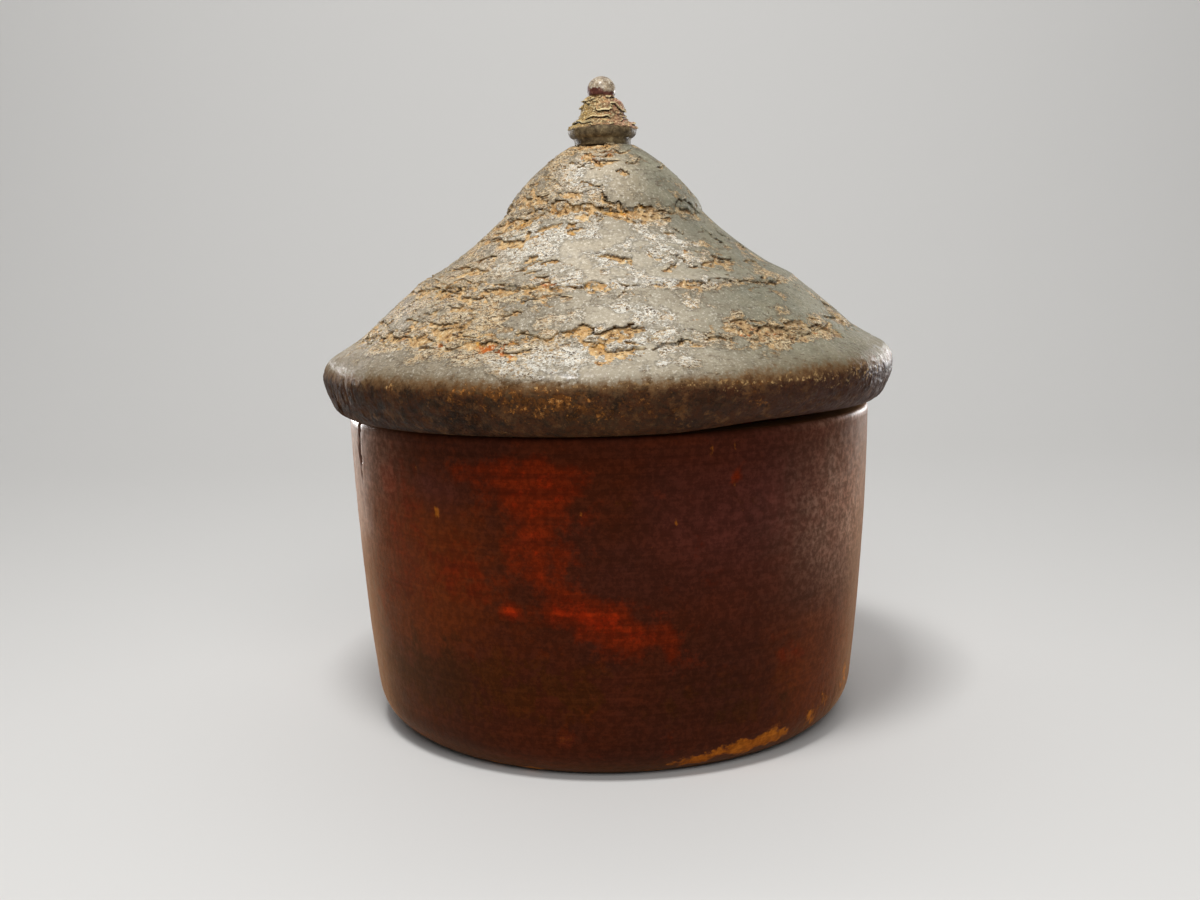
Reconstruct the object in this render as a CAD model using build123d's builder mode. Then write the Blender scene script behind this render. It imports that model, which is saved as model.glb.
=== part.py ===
from build123d import *
from math import sqrt
import os

# A lidded pot for tika powder, turned from wood: a deep pot, a wide hat-shaped lid and a small knob.
# Every piece is round about the Z axis, as it left the lathe. Z = 0 is the table, and all sizes are
# in millimetres. A profile is drawn on the XZ plane, with its radius along X, and revolved about Z.
# An arc with a plus sagitta bows to the left of the way from its start to its end.

# The pot's outside, from the table up.
pot_height = 77.0  # from the table to the flat lip that carries the lid
lip_radius = 64.0  # outside the wall, at the lip
wall_taper = 4.2  # the wall is this much narrower above its heel than at its lip
wall_bulge = 0.8  # the wall bows out by this much between heel and lip
heel_height = 10.0  # the rounded heel ends this far above the table
heel_inset = 7.6  # from the heel's top in to the edge of the foot
heel_bulge = 1.9  # how far the heel's curve stands out from its chord
foot_ring_width = 12.0  # the flat ring that the pot stands on
foot_hollow_depth = 1.4  # the base is turned hollow inside the foot ring
lip_round = 1.3  # rounding of the lip's outer edge
mouth_round = 0.9  # rounding of the lip's inner edge

# The pot's inside.
lip_width = 7.6  # thickness of the wall at the mouth
mouth_margin = 2.0  # the mouth's straight stretch goes this much deeper than the lid's spigot
bowl_taper = 4.4  # the bowl is this much narrower at its floor than at its mouth
floor_thickness = 9.0  # from the table to the bowl's floor
bowl_corner_radius = 13.0  # where the wall runs into the floor

# The lid's outside, from its bearing face up. Each rise starts where the one before it ends,
# and each run goes in towards the axis.
lid_overhang = 6.0  # the lid's widest line stands this far out past the lip
corner_rise = 4.3  # the rounded lower corner
corner_bulge = 0.9
band_lean = 1.5  # the band's foot is this much narrower than the widest line
band_rise = 5.4  # from the lower corner to the widest line
band_bulge = 0.3
nose_run = 4.0  # the rounded nose above the widest line
nose_rise = 5.0
nose_bulge = 0.9
brim_run = 5.8  # the sloping brim between the nose and the groove
brim_rise = 3.5
groove_radius = 1.6  # fillet in the groove between brim and skirt
skirt_run = 14.0  # from the groove to the ridge
skirt_rise = 12.1
skirt_bulge = 0.2
flute_rise = 16.4  # the hollow sweep from the ridge to the waist
flute_hollow = 1.0
waist_step = 0.9  # the crown's edge lies this much inside the waist
waist_rise = 2.5
crown_radius = 23.2  # the crown's edge
crown_rise = 13.8  # from the crown's edge to the knob's seat
crown_bulge = 1.6

# The lid's underside.
spigot_clearance = 0.7  # all round, between the spigot and the pot's mouth
spigot_depth = 7.5  # how far the spigot reaches into the mouth
spigot_width = 5.6  # thickness of the spigot's wall
spigot_round = 1.2  # rounding of its lower edges
bore_rise = 13.0  # the straight bore goes this far above the bearing face
crown_solid = 23.0  # wood left between the dome's top and the knob's seat

# The knob, from its seat on the crown up.
neck_radius = 6.9  # the foot of the knob
neck_height = 1.1
neck_hollow = 0.1
flange_overhang = 1.45  # the flange stands this far out past the neck
flange_underside_rise = 1.9
flange_edge = 1.2  # height of the flange's rolled edge
flange_round = 0.45  # rounding of both its corners
flange_top_run = 2.6  # the hollow slope above the flange
flange_top_rise = 3.1
flange_top_hollow = 0.35
bell_radius = 3.15  # the bell's top, under the ball
bell_rise = 4.4
bell_bulge = 0.55
ball_swell = 0.3  # the ball stands this far out past the bell's top
seat_margin = 0.7  # the crown's flat seat is this much wider than the neck

# The peg under the knob, and its socket in the lid.
peg_radius = 3.1
peg_length = 9.0
peg_chamfer = 0.6
glue_gap = 0.05  # all round the peg
glue_pocket = 0.5  # under the peg

# Radii worked out from the sizes above.
heel_radius = lip_radius - wall_taper
foot_radius = heel_radius - heel_inset
foot_hollow_radius = foot_radius - foot_ring_width
mouth_radius = lip_radius - lip_width
bowl_floor_radius = mouth_radius - bowl_taper
spigot_radius = mouth_radius - spigot_clearance
bore_radius = spigot_radius - spigot_width
lid_radius = lip_radius + lid_overhang
flange_radius = neck_radius + flange_overhang
ball_radius = bell_radius + ball_swell

# Heights worked out from the sizes above. The lid's bearing face lies on the pot's lip.
corner_z = pot_height + corner_rise
widest_z = corner_z + band_rise
brim_z = widest_z + nose_rise
groove_z = brim_z + brim_rise
ridge_z = groove_z + skirt_rise
waist_z = ridge_z + flute_rise
crown_z = waist_z + waist_rise
seat_z = crown_z + crown_rise
spigot_z = pot_height - spigot_depth
bowl_z = spigot_z - mouth_margin
bore_z = pot_height + bore_rise
dome_z = seat_z - crown_solid
peg_z = seat_z - peg_length
neck_z = seat_z + neck_height
flange_z = neck_z + flange_underside_rise
slope_z = flange_z + flange_edge
bell_z = slope_z + flange_top_rise
bell_top_z = bell_z + bell_rise
# The ball's own outline is as wide as the bell's top this far below its centre.
ball_z = bell_top_z + sqrt(ball_radius**2 - bell_radius**2)

# Corners of the pot's wall, as radius and height.
foot = (foot_radius, 0)
heel = (heel_radius, heel_height)
lip = (lip_radius, pot_height)
mouth = (mouth_radius, pot_height)
bowl_top = (mouth_radius, bowl_z)
bowl_corner = (bowl_floor_radius, floor_thickness)

# Corners of the lid's outline. Its bearing face ends where the pot's lip does.
spigot_inside = (bore_radius, spigot_z)
spigot_outside = (spigot_radius, spigot_z)
bearing = (spigot_radius, pot_height)
band_foot = (lid_radius - band_lean, corner_z)
widest = (lid_radius, widest_z)
brim = (lid_radius - nose_run, brim_z)
groove = (lid_radius - nose_run - brim_run, groove_z)
ridge = (groove[0] - skirt_run, ridge_z)
waist = (crown_radius + waist_step, waist_z)
crown = (crown_radius, crown_z)
seat_edge = (neck_radius + seat_margin, seat_z)

# Corners of the knob's outline.
peg_top = (peg_radius, seat_z)
neck_foot = (neck_radius, seat_z)
neck_top = (neck_radius, neck_z)
flange_low = (flange_radius, flange_z)
flange_high = (flange_radius, slope_z)
bell_foot = (flange_radius - flange_top_run, bell_z)
bell_top = (bell_radius, bell_top_z)
ball_top = (0, ball_z + ball_radius)

# The pot: one thick-walled vessel with a flat lip, a rounded heel and a foot that is turned hollow.
with BuildPart() as pot:
    with BuildSketch(Plane.XZ) as profile:
        with BuildLine():
            TangentArc((0, foot_hollow_depth), (foot_hollow_radius, 0), tangent=(1, 0))
            Line((foot_hollow_radius, 0), foot)
            SagittaArc(foot, heel, -heel_bulge)
            SagittaArc(heel, lip, -wall_bulge)
            Polyline(lip, mouth, bowl_top, bowl_corner, (0, floor_thickness), (0, foot_hollow_depth))
        make_face()
        fillet(profile.vertices().sort_by_distance(bowl_corner)[0], radius=bowl_corner_radius)
        fillet(profile.vertices().sort_by_distance(mouth)[0], radius=mouth_round)
        fillet(profile.vertices().sort_by_distance(lip)[0], radius=lip_round)
    revolve(axis=Axis.Z)

# The lid: a wide brim, a straight skirt up to a ridge, a hollow flute and a rounded crown. Under it,
# a spigot drops into the mouth, and a dome is turned out of the solid.
with BuildPart() as lid:
    with BuildSketch(Plane.XZ) as profile:
        with BuildLine():
            Polyline((bore_radius, bore_z), spigot_inside, spigot_outside, bearing, lip)
            SagittaArc(lip, band_foot, -corner_bulge)
            SagittaArc(band_foot, widest, -band_bulge)
            SagittaArc(widest, brim, -nose_bulge)
            Line(brim, groove)
            SagittaArc(groove, ridge, -skirt_bulge)
            SagittaArc(ridge, waist, flute_hollow)
            Line(waist, crown)
            SagittaArc(crown, seat_edge, -crown_bulge)
            Polyline(seat_edge, (0, seat_z), (0, dome_z))
            TangentArc((0, dome_z), (bore_radius, bore_z), tangent=(1, 0))
        make_face()
        fillet(profile.vertices().sort_by_distance(groove)[0], radius=groove_radius)
        spigot_corners = profile.vertices().group_by(Axis.Y)[0]
        fillet(spigot_corners, radius=spigot_round)
    revolve(axis=Axis.Z)
    with Locations((0, 0, seat_z)):
        Hole(radius=peg_radius + glue_gap, depth=peg_length + glue_pocket)

# The knob: a neck, a rolled flange, a bell and a ball, turned in one with the peg below them.
with BuildPart() as knob:
    with BuildSketch(Plane.XZ) as profile:
        with BuildLine():
            Polyline((0, peg_z), (peg_radius, peg_z), peg_top, neck_foot, neck_top)
            SagittaArc(neck_top, flange_low, neck_hollow)
            Line(flange_low, flange_high)
            SagittaArc(flange_high, bell_foot, flange_top_hollow)
            SagittaArc(bell_foot, bell_top, -bell_bulge)
            ThreePointArc(bell_top, (ball_radius, ball_z), ball_top)
            Line(ball_top, (0, peg_z))
        make_face()
        for corner in (flange_low, flange_high):
            fillet(profile.vertices().sort_by_distance(corner)[0], radius=flange_round)
    revolve(axis=Axis.Z)
    peg_end = knob.faces().sort_by(Axis.Z)[0]
    chamfer(peg_end.edges(), length=peg_chamfer)

os.makedirs("parts", exist_ok=True)
pot.part.label = "pot"
lid.part.label = "lid"
knob.part.label = "knob"
export_step(pot.part, "parts/pot.step")
export_step(lid.part, "parts/lid.step")
export_step(knob.part, "parts/knob.step")

print(f"overall height {ball_top[1]:.1f}, widest {2 * lid_radius:.1f}")
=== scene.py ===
# %% [markdown]
# # A lidded pot for tika powder
# This lesson dresses a turned wooden pot and its hat-shaped lid. The wood was once lacquered. Years of
# powder and oil have left a thick grey crust on the lid, which has cracked and flaked off in places,
# and the pot below has gone dark red-brown. We start from a fixed frame, which holds the solids at
# their real size. Everything here is built round it, and lengths are written in millimetres until a
# mesh is made.

# %% The frame
import math

import bpy
import numpy as np
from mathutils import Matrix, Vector


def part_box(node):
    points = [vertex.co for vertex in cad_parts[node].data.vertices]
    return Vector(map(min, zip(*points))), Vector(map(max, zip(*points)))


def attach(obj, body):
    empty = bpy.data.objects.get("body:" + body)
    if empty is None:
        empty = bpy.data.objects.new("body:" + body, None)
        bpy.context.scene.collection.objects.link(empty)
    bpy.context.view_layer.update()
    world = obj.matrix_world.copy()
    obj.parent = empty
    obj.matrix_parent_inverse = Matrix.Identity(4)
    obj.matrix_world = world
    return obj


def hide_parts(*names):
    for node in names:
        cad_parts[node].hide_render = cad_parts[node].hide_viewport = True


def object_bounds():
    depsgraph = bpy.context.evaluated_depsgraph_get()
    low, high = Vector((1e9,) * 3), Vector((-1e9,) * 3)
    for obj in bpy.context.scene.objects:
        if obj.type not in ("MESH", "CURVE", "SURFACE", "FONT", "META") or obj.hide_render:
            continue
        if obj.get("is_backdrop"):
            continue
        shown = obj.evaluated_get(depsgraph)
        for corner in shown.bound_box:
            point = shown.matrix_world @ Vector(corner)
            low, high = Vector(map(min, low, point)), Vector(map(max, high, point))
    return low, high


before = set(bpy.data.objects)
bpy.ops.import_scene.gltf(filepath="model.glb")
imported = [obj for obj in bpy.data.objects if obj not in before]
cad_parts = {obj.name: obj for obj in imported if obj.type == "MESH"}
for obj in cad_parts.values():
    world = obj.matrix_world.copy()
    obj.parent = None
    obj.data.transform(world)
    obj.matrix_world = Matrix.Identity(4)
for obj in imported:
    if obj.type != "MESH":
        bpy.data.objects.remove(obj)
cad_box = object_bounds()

MM = 0.001
pot_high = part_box("pot")[1]
lid_low, lid_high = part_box("lid")
knob_low, knob_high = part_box("knob")
lip_z = pot_high.z / MM
spigot_z = lid_low.z / MM
seat_z = lid_high.z / MM
knob_top_z = knob_high.z / MM
print(f"lip at {lip_z:.1f}, knob's seat at {seat_z:.1f}, top at {knob_top_z:.1f} mm")

# %% [markdown]
# ## The camera
# A view this close is strongly perspective: the lid looks wider than the pot, and we see the curve of
# every edge. The distance matters more than the lens for that, so it was found first. The camera is
# level with the lid's flute, looks down a little and is rolled slightly, as if held by hand.

# %% Camera
sensor_mm = 36.0
lens_mm = 41.4
camera_side = -2.4
camera_distance = 345.0
camera_height = 116.3
look_down = math.radians(8.5)
roll = math.radians(-1.35)

camera = bpy.data.objects.new("camera", bpy.data.cameras.new("camera"))
camera.data.sensor_width = sensor_mm
camera.data.lens = lens_mm
camera.data.clip_start = 0.01
camera.location = (camera_side * MM, -camera_distance * MM, camera_height * MM)
camera.rotation_euler = (math.pi / 2 - look_down, 0, 0)
camera.rotation_euler.rotate_axis("Z", roll)
bpy.context.scene.collection.objects.link(camera)
bpy.context.scene.camera = camera
print(f"camera {camera_distance:.0f} mm from the axis, looking {math.degrees(look_down):.1f} degrees down")

# %% [markdown]
# ## Room and light
# The floor and the wall behind are one pale sheet, bent up in a wide curve so that no corner shows. A
# photographer hangs up a roll of paper for the same reason.

# %% Floor
floor_half_width = 1600.0
floor_front = -1600.0
wall_distance = 900.0
wall_height = 1400.0
bend_radius = 500.0

bend = np.linspace(0, np.pi / 2, 24)
bend_start = wall_distance - bend_radius
run = np.concatenate([[floor_front], bend_start + bend_radius * np.sin(bend), [wall_distance]])
rise = np.concatenate([[0.0], bend_radius - bend_radius * np.cos(bend), [wall_height]])
left_edge = np.stack([np.full_like(run, -floor_half_width), run, rise], axis=-1)
right_edge = left_edge * (-1, 1, 1)
strip = np.arange(len(run) - 1)
sheet_faces = np.stack([strip, strip + len(run), strip + len(run) + 1, strip + 1], axis=-1)

floor_mesh = bpy.data.meshes.new("floor")
floor_mesh.from_pydata((np.concatenate([left_edge, right_edge]) * MM).tolist(), [], sheet_faces.tolist())
floor_mesh.polygons.foreach_set("use_smooth", np.ones(len(sheet_faces), bool))
floor = bpy.data.objects.new("floor", floor_mesh)
bpy.context.scene.collection.objects.link(floor)
floor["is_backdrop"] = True

paper = bpy.data.materials.new("pale_paper")
paper.use_nodes = True
paper_shader = paper.node_tree.nodes["Principled BSDF"].inputs
paper_shader["Base Color"].default_value = (0.72, 0.71, 0.69, 1)
paper_shader["Roughness"].default_value = 0.9
floor_mesh.materials.append(paper)
print(f"floor: {len(sheet_faces)} faces")

# %% [markdown]
# The light is soft: a lamp overhead and a little to the front, a wide faint one in front, one that
# washes the wall, and an even grey world. Together they light a surface at a plain level, at which a
# colour renders about as it is written. Two narrow strips stand behind the pot, one on each side, for
# the thin highlights down its flanks. Light linking leaves the floor out of their beams, because each
# would lay a bright pool on it.

# %% Lamps and world
def softbox(name, place, aim, width, height, watts, beam=180):
    """A rectangular lamp at place, facing aim, both in millimetres. beam is its spread in degrees."""
    lamp = bpy.data.lights.new(name, "AREA")
    lamp.shape = "RECTANGLE"
    lamp.size, lamp.size_y = width * MM, height * MM
    lamp.energy = watts
    lamp.spread = math.radians(beam)
    holder = bpy.data.objects.new(name, lamp)
    holder.location = Vector(place) * MM
    holder.rotation_euler = (Vector(aim) - Vector(place)).to_track_quat("-Z", "Y").to_euler()
    bpy.context.scene.collection.objects.link(holder)
    return holder


softbox("overhead", (-60, -230, 600), (0, 0, 90), 130, 130, 2.25)
softbox("front_fill", (60, -640, 520), (0, 0, 40), 560, 300, 2.3)
softbox("wall_wash", (0, 380, 900), (0, 900, 260), 1500, 300, 4.5)
left_strip = softbox("left_strip", (-380, 470, 100), (-20, 0, 20), 90, 180, 0.13, beam=30)
right_strip = softbox("right_strip", (400, 470, 100), (20, 0, 20), 90, 180, 0.12, beam=30)

paper_only = bpy.data.collections.new("paper_only")
paper_only.objects.link(floor)
paper_only.collection_objects[0].light_linking.link_state = "EXCLUDE"
for lamp in (left_strip, right_strip):
    lamp.light_linking.receiver_collection = paper_only

world = bpy.data.worlds.new("even_grey")
world.use_nodes = True
sky = world.node_tree.nodes["Background"].inputs
sky["Color"].default_value = (0.82, 0.82, 0.84, 1)
sky["Strength"].default_value = 0.15
bpy.context.scene.world = world
bpy.context.scene.view_settings.view_transform = "Standard"
print(f"{len(bpy.data.lights)} lamps")

# %% [markdown]
# ## Random fields
# Worn surfaces need randomness at several sizes. Blender's own textures could give it, but only after
# the mesh is made. Here it has to shape the mesh, so it is worked out in numpy, for all points at once.
# Two fields are enough. The first is noise, a smooth random value that changes over a chosen distance.
# It is read at each vertex's own place in space, so it has no seam and no pinched pole.

# %% Noise
LATTICE = 64
NOISE_SHIFT = 19.37
lattice = np.random.default_rng(5).uniform(-1, 1, (4, LATTICE, LATTICE, LATTICE))


def noise(points, cell, layer=0):
    """Smooth noise from -1 to 1. A point's place in its cell is eased by 3t^2 - 2t^3, and the values of
    the cell's eight corners are blended by it. layer moves the lattice, so that layers differ. The
    lattice repeats every 64 cells."""
    place = points / np.asarray(cell, float) + NOISE_SHIFT * layer
    low = np.floor(place)
    x, y, z = np.moveaxis(place - low, -1, 0)
    x, y, z = (t * t * (3 - 2 * t) for t in (x, y, z))
    column, row, level = np.moveaxis(low.astype(int), -1, 0)

    def edge(right, back):
        near = (column + right) % LATTICE, (row + back) % LATTICE
        bottom = lattice[0][(*near, level % LATTICE)]
        return bottom + z * (lattice[0][(*near, (level + 1) % LATTICE)] - bottom)

    left = edge(0, 0) + y * (edge(0, 1) - edge(0, 0))
    right = edge(1, 0) + y * (edge(1, 1) - edge(1, 0))
    return left + x * (right - left)


def fractal(points, cell, octaves=4, layer=0):
    """Noise added to itself, each time at half the size and half the strength."""
    total = sum(noise(points, np.asarray(cell, float) / 2**k, layer + k) / 2**k for k in range(octaves))
    return total / (2 - 2.0 ** (1 - octaves))


# %% [markdown]
# The second field is plates: space cut into irregular cells, as mud is when it dries.

# %% Plates
PLATE_SHIFT = 23.71


def lattice_value(corner, kind):
    """The random value kept at a lattice corner, from -1 to 1. There are four kinds."""
    at = corner.astype(int) % LATTICE
    return lattice[kind][at[..., 0], at[..., 1], at[..., 2]]


def plates(points, cell, layer=0):
    """Irregular plates round random centres, one in each cell and up to 0.45 of a cell off its middle.
    Gives how much nearer the nearest centre is than the next, in cells, which is 0 on a crack."""
    place = points / np.asarray(cell, float) + PLATE_SHIFT * layer
    low = np.floor(place)
    nearest = np.full(points.shape[:-1], 9.0)
    second = nearest.copy()
    for step in np.ndindex(3, 3, 3):
        home = low + step - 1
        jitter = np.stack([lattice_value(home, kind) for kind in (1, 2, 3)], axis=-1)
        distance = np.sqrt(((place - home - 0.5 - 0.45 * jitter) ** 2).sum(axis=-1))
        second = np.minimum(second, np.maximum(nearest, distance))
        nearest = np.minimum(nearest, distance)
    return second - nearest


# %% [markdown]
# Masks are built from soft steps and soft bumps, and a ragged copy of the points roughens their edges.

# %% Steps, bumps and ragged edges
def ease(value, low, high):
    """0 below low, 1 above high, and a smooth S between."""
    t = np.clip((value - low) / (high - low), 0, 1)
    return t * t * (3 - 2 * t)


def bell(value, centre, width):
    """exp(-d^2), where d is the distance from centre in widths."""
    return np.exp(-(((value - centre) / width) ** 2))


def ragged(points, cell, reach, layer):
    """The points pushed about by up to reach, so that straight edges read there come out ragged."""
    push = [fractal(points, cell, 3, layer + 3 * k) for k in range(3)]
    return points + reach * np.stack(push, axis=-1)


# %% [markdown]
# ## Turned shapes
# A lathe makes every piece here, so a piece is an outline carried round the axis. The outline is a
# chain of shallow bows between its corners, cut into short steps. It runs with the wood on its right
# hand, so that the left hand always points out of the wood, and a relief moves each point that way.
# Azimuth 0 faces the camera, and it grows towards the right-hand side.

# %% Outlines
def bow(start, end, bulge=0.0, step=1.0):
    """Points from start up to, but not at, end. Along the way t the line is pushed to the left by
    4 t (1 - t) bulge, a parabola that is as good as an arc while the bulge is small."""
    start, end = np.array(start, float), np.array(end, float)
    along = end - start
    length = np.hypot(*along)
    count = max(1, round(length / step))
    t = np.arange(count)[:, None] / count
    return start + t * along + 4 * t * (1 - t) * bulge * np.array([-along[1], along[0]]) / length


def chain(start, legs):
    """An outline of bows. Each leg is its end, its bulge and its step, and starts where the last ended."""
    points = []
    for end, bulge, step in legs:
        points.append(bow(start, end, bulge, step))
        start = end
    return np.concatenate([*points, [start]])


# %% [markdown]
# Carried round the axis, the outline gives a grid of points, one row for each of its steps. With each
# point come the directions in which a relief or a shear may move it.

# %% Surfaces of revolution
def turned(outline, columns):
    """Carries an outline round the axis. At azimuth a, a point of radius r lies at (r sin a, -r cos a).
    Gives the points, the directions out of the wood and along the outline, and the azimuths."""
    turn = np.arange(columns) * 2 * np.pi / columns
    along = np.gradient(outline, axis=0)
    along /= np.linalg.norm(along, axis=-1, keepdims=True)
    out = np.stack([-along[:, 1], along[:, 0]], axis=-1)
    spokes = np.stack([np.sin(turn), -np.cos(turn)], axis=-1)

    def spin(pair):
        flat = pair[:, None, :1] * spokes
        high = np.broadcast_to(pair[:, None, 1:], (*flat.shape[:2], 1))
        return np.concatenate([flat, high], axis=-1)

    azimuth = (np.degrees(turn) + 180) % 360 - 180
    return spin(outline), spin(out), spin(along), np.broadcast_to(azimuth, (len(outline), columns))


# %% [markdown]
# A grid becomes a closed mesh of four-sided faces. Its points carry named values for the material, and
# many of these start as a list of places on the real object.

# %% Meshes and places
def build(name, points, fields, ring=False):
    """A closed mesh from a grid of points in millimetres. A ring joins its last row to its first. Any
    other piece has its first and last row on the axis, where each becomes a single point. fields are
    named values, one for each point, for the material to read."""
    rows, columns = points.shape[:2]
    index = np.arange(rows * columns).reshape(rows, columns)
    keep = slice(None)
    if not ring:
        keep = slice(columns - 1, (rows - 1) * columns + 1)
        index = np.clip(index - columns + 1, 0, (rows - 2) * columns + 1)
    below = np.roll(index, -1, axis=0)
    quads = np.stack([index, below, np.roll(below, -1, axis=1), np.roll(index, -1, axis=1)], axis=-1)
    if ring:
        faces = quads.reshape(-1, 4).tolist()
    else:
        fans = quads[0][:, :3].tolist() + quads[-2][:, [0, 1, 3]].tolist()
        faces = quads[1:-2].reshape(-1, 4).tolist() + fans
    mesh = bpy.data.meshes.new(name)
    mesh.from_pydata((points.reshape(-1, 3)[keep] * MM).tolist(), [], faces)
    mesh.polygons.foreach_set("use_smooth", np.ones(len(faces), bool))
    for field_name, values in fields.items():
        values = np.ascontiguousarray(values.reshape(-1)[keep], np.float32)
        mesh.attributes.new(field_name, "FLOAT", "POINT").data.foreach_set("value", values)
    piece = bpy.data.objects.new(name, mesh)
    bpy.context.scene.collection.objects.link(piece)
    mesh.calc_loop_triangles()
    print(f"{name}: {len(mesh.vertices)} points, {len(mesh.loop_triangles)} triangles")
    return piece


def places(points, azimuth, listed):
    """How strongly each point is inside the listed places. A place is its azimuth and height, its half
    width and half height, and its strength, which fades as exp(-d^2)."""
    radius = np.hypot(points[..., 0], points[..., 1])
    total = np.zeros(azimuth.shape)
    for around, height, half_width, half_height, strength in listed:
        turn = (azimuth - around + 180) % 360 - 180
        across = np.radians(turn) * radius / half_width
        total += strength * np.exp(-across**2 - ((points[..., 2] - height) / half_height) ** 2)
    return total


# %% [markdown]
# ## Shader building blocks
# Every material below mixes colours by masks, so the helpers are a painter's: blend two colours, lay
# coats over one another, break up the edge of a mask. Wherever a value goes in, it may be a number, a
# socket, or the name of a value that the mesh carries at its points.

# %% Node helpers
def srgb(red, green, blue):
    """A colour as a paint chart gives it, from 0 to 255, made linear for the shader."""
    share = np.array([red, green, blue]) / 255
    linear = np.where(share < 0.04045, share / 12.92, ((share + 0.055) / 1.055) ** 2.4)
    return (*linear.tolist(), 1.0)


def connect(tree, socket, value):
    """Gives an input its value: a link from a socket, the mesh's own value by name, or a number."""
    if isinstance(value, str):
        value = add(tree, "ShaderNodeAttribute", {}, attribute_name=value).outputs["Fac"]
    if isinstance(value, bpy.types.NodeSocket):
        tree.links.new(value, socket)
    else:
        socket.default_value = value


def add(tree, kind, inputs, **settings):
    """Adds a node. inputs are its values, by name or number."""
    node = tree.nodes.new(kind)
    for name, value in settings.items():
        setattr(node, name, value)
    for name, value in inputs.items():
        connect(tree, node.inputs[name], value)
    return node


def new_material(name):
    """A material, its node tree, its shader's inputs and the object's own coordinates."""
    material = bpy.data.materials.new(name)
    material.use_nodes = True
    tree = material.node_tree
    own = tree.nodes.new("ShaderNodeTexCoord").outputs["Object"]
    return material, tree, tree.nodes["Principled BSDF"].inputs, own


# %% [markdown]
# A mask is a value from 0 to 1. It comes from a sum on other masks, from a noise, or from the mesh. The
# mesh's own masks are soft, and a noise breaks their edges up.

# %% Masks
def maths(tree, operation, first, second=0.0):
    """One sum on two values."""
    return add(tree, "ShaderNodeMath", {0: first, 1: second}, operation=operation).outputs[0]


def times(tree, first, *others):
    """The product of several values."""
    for other in others:
        first = maths(tree, "MULTIPLY", first, other)
    return first


def most(tree, first, second):
    """The larger of two values."""
    return maths(tree, "MAXIMUM", first, second)


def step_between(tree, value, low, high):
    """0 below low, 1 above high, and a smooth S between."""
    limits = {"Value": value, "From Min": low, "From Max": high}
    return add(tree, "ShaderNodeMapRange", limits, interpolation_type="SMOOTHSTEP").outputs[0]


def between(tree, mask, low, high):
    """A value that runs from low where the mask is 0 to high where it is 1."""
    return add(tree, "ShaderNodeMapRange", {"Value": mask, "To Min": low, "To Max": high}).outputs[0]


def clouds(tree, vector, scale, detail=3.0, roughness=0.5):
    """A cloudy noise about a half. scale is how many of its clouds lie along a metre."""
    inputs = {"Vector": vector, "Scale": scale, "Detail": detail, "Roughness": roughness}
    return add(tree, "ShaderNodeTexNoise", inputs).outputs[0]


def broken(tree, mask, breaker, reach, low=0.35, high=0.65):
    """A soft mask broken up by a noise: reach times the noise's distance from a half is added to it
    before its edge is cut between low and high."""
    shifted = times(tree, maths(tree, "SUBTRACT", breaker, 0.5), reach)
    return step_between(tree, maths(tree, "ADD", mask, shifted), low, high)


# %% [markdown]
# Colours are laid over one another in coats, as paint is, and bumps are laid over bumps.

# %% Colours and relief
def blend(tree, mask, first, second, mode="MIX"):
    """Colour first where the mask is 0, and second where it is 1. A colour is a socket, or the three
    numbers that a paint chart gives it."""
    first, second = (srgb(*colour) if isinstance(colour, tuple) else colour for colour in (first, second))
    node = add(tree, "ShaderNodeMix", {0: mask, 6: first, 7: second}, data_type="RGBA", blend_type=mode)
    return node.outputs[2]


def coats(tree, under, layers):
    """Lays coats over a colour, one after another. Each is its mask, its share at the mask's full
    strength, and its colour."""
    for mask, share, over in layers:
        under = blend(tree, between(tree, mask, 0, share), under, over)
    return under


def relief(tree, height, distance, strength=1.0, under=None):
    """A bump of the given height in millimetres, laid over the one under it."""
    node = add(tree, "ShaderNodeBump", {"Height": height, "Distance": distance * MM, "Strength": strength})
    if under:
        tree.links.new(under, node.inputs["Normal"])
    return node.outputs[0]


# %% [markdown]
# ## Effects that the materials share
# The masks come from the same few effects, so each effect is a node group with named inputs, built once
# and placed in each material with its own values. Patches make blotches and mottling. Turning lines are
# the faint rings that a gouge leaves. Grit is the fine roughness of a dry crust. Lace is a net of thin
# wrinkles, where a noise passes through its middle value.

# %% A node group and its use
FLOAT, VECTOR = "NodeSocketFloat", "NodeSocketVector"


def new_group(name, inputs, outputs):
    """An empty node group with named inputs and outputs. Gives its tree, the sockets inside it that
    carry the inputs, and those that take the outputs."""
    tree = bpy.data.node_groups.new(name, "ShaderNodeTree")
    for title, kind, value in inputs:
        socket = tree.interface.new_socket(title, in_out="INPUT", socket_type=kind)
        if value is not None:
            socket.default_value = value
    for title in outputs:
        tree.interface.new_socket(title, in_out="OUTPUT", socket_type=FLOAT)
    return tree, tree.nodes.new("NodeGroupInput").outputs, tree.nodes.new("NodeGroupOutput").inputs


def use(tree, group, vector, **values):
    """Places a node group. Gives its output, or all of them where it has several."""
    node = add(tree, "ShaderNodeGroup", {}, node_tree=group)
    connect(tree, node.inputs["Vector"], vector)
    for name, value in values.items():
        connect(tree, node.inputs[name.capitalize()], value)
    return node.outputs[0] if len(node.outputs) == 1 else node.outputs


# %% Patches, turning lines, grit and lace
patches, given, taken = new_group("Patches", [
    ("Vector", VECTOR, None), ("Scale", FLOAT, 100.0), ("Detail", FLOAT, 4.0), ("Roughness", FLOAT, 0.6),
    ("Low", FLOAT, 0.45), ("High", FLOAT, 0.6)], ["Mask"])
shape = clouds(patches, given["Vector"], given["Scale"], given["Detail"], given["Roughness"])
connect(patches, taken["Mask"], step_between(patches, shape, given["Low"], given["High"]))

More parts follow.
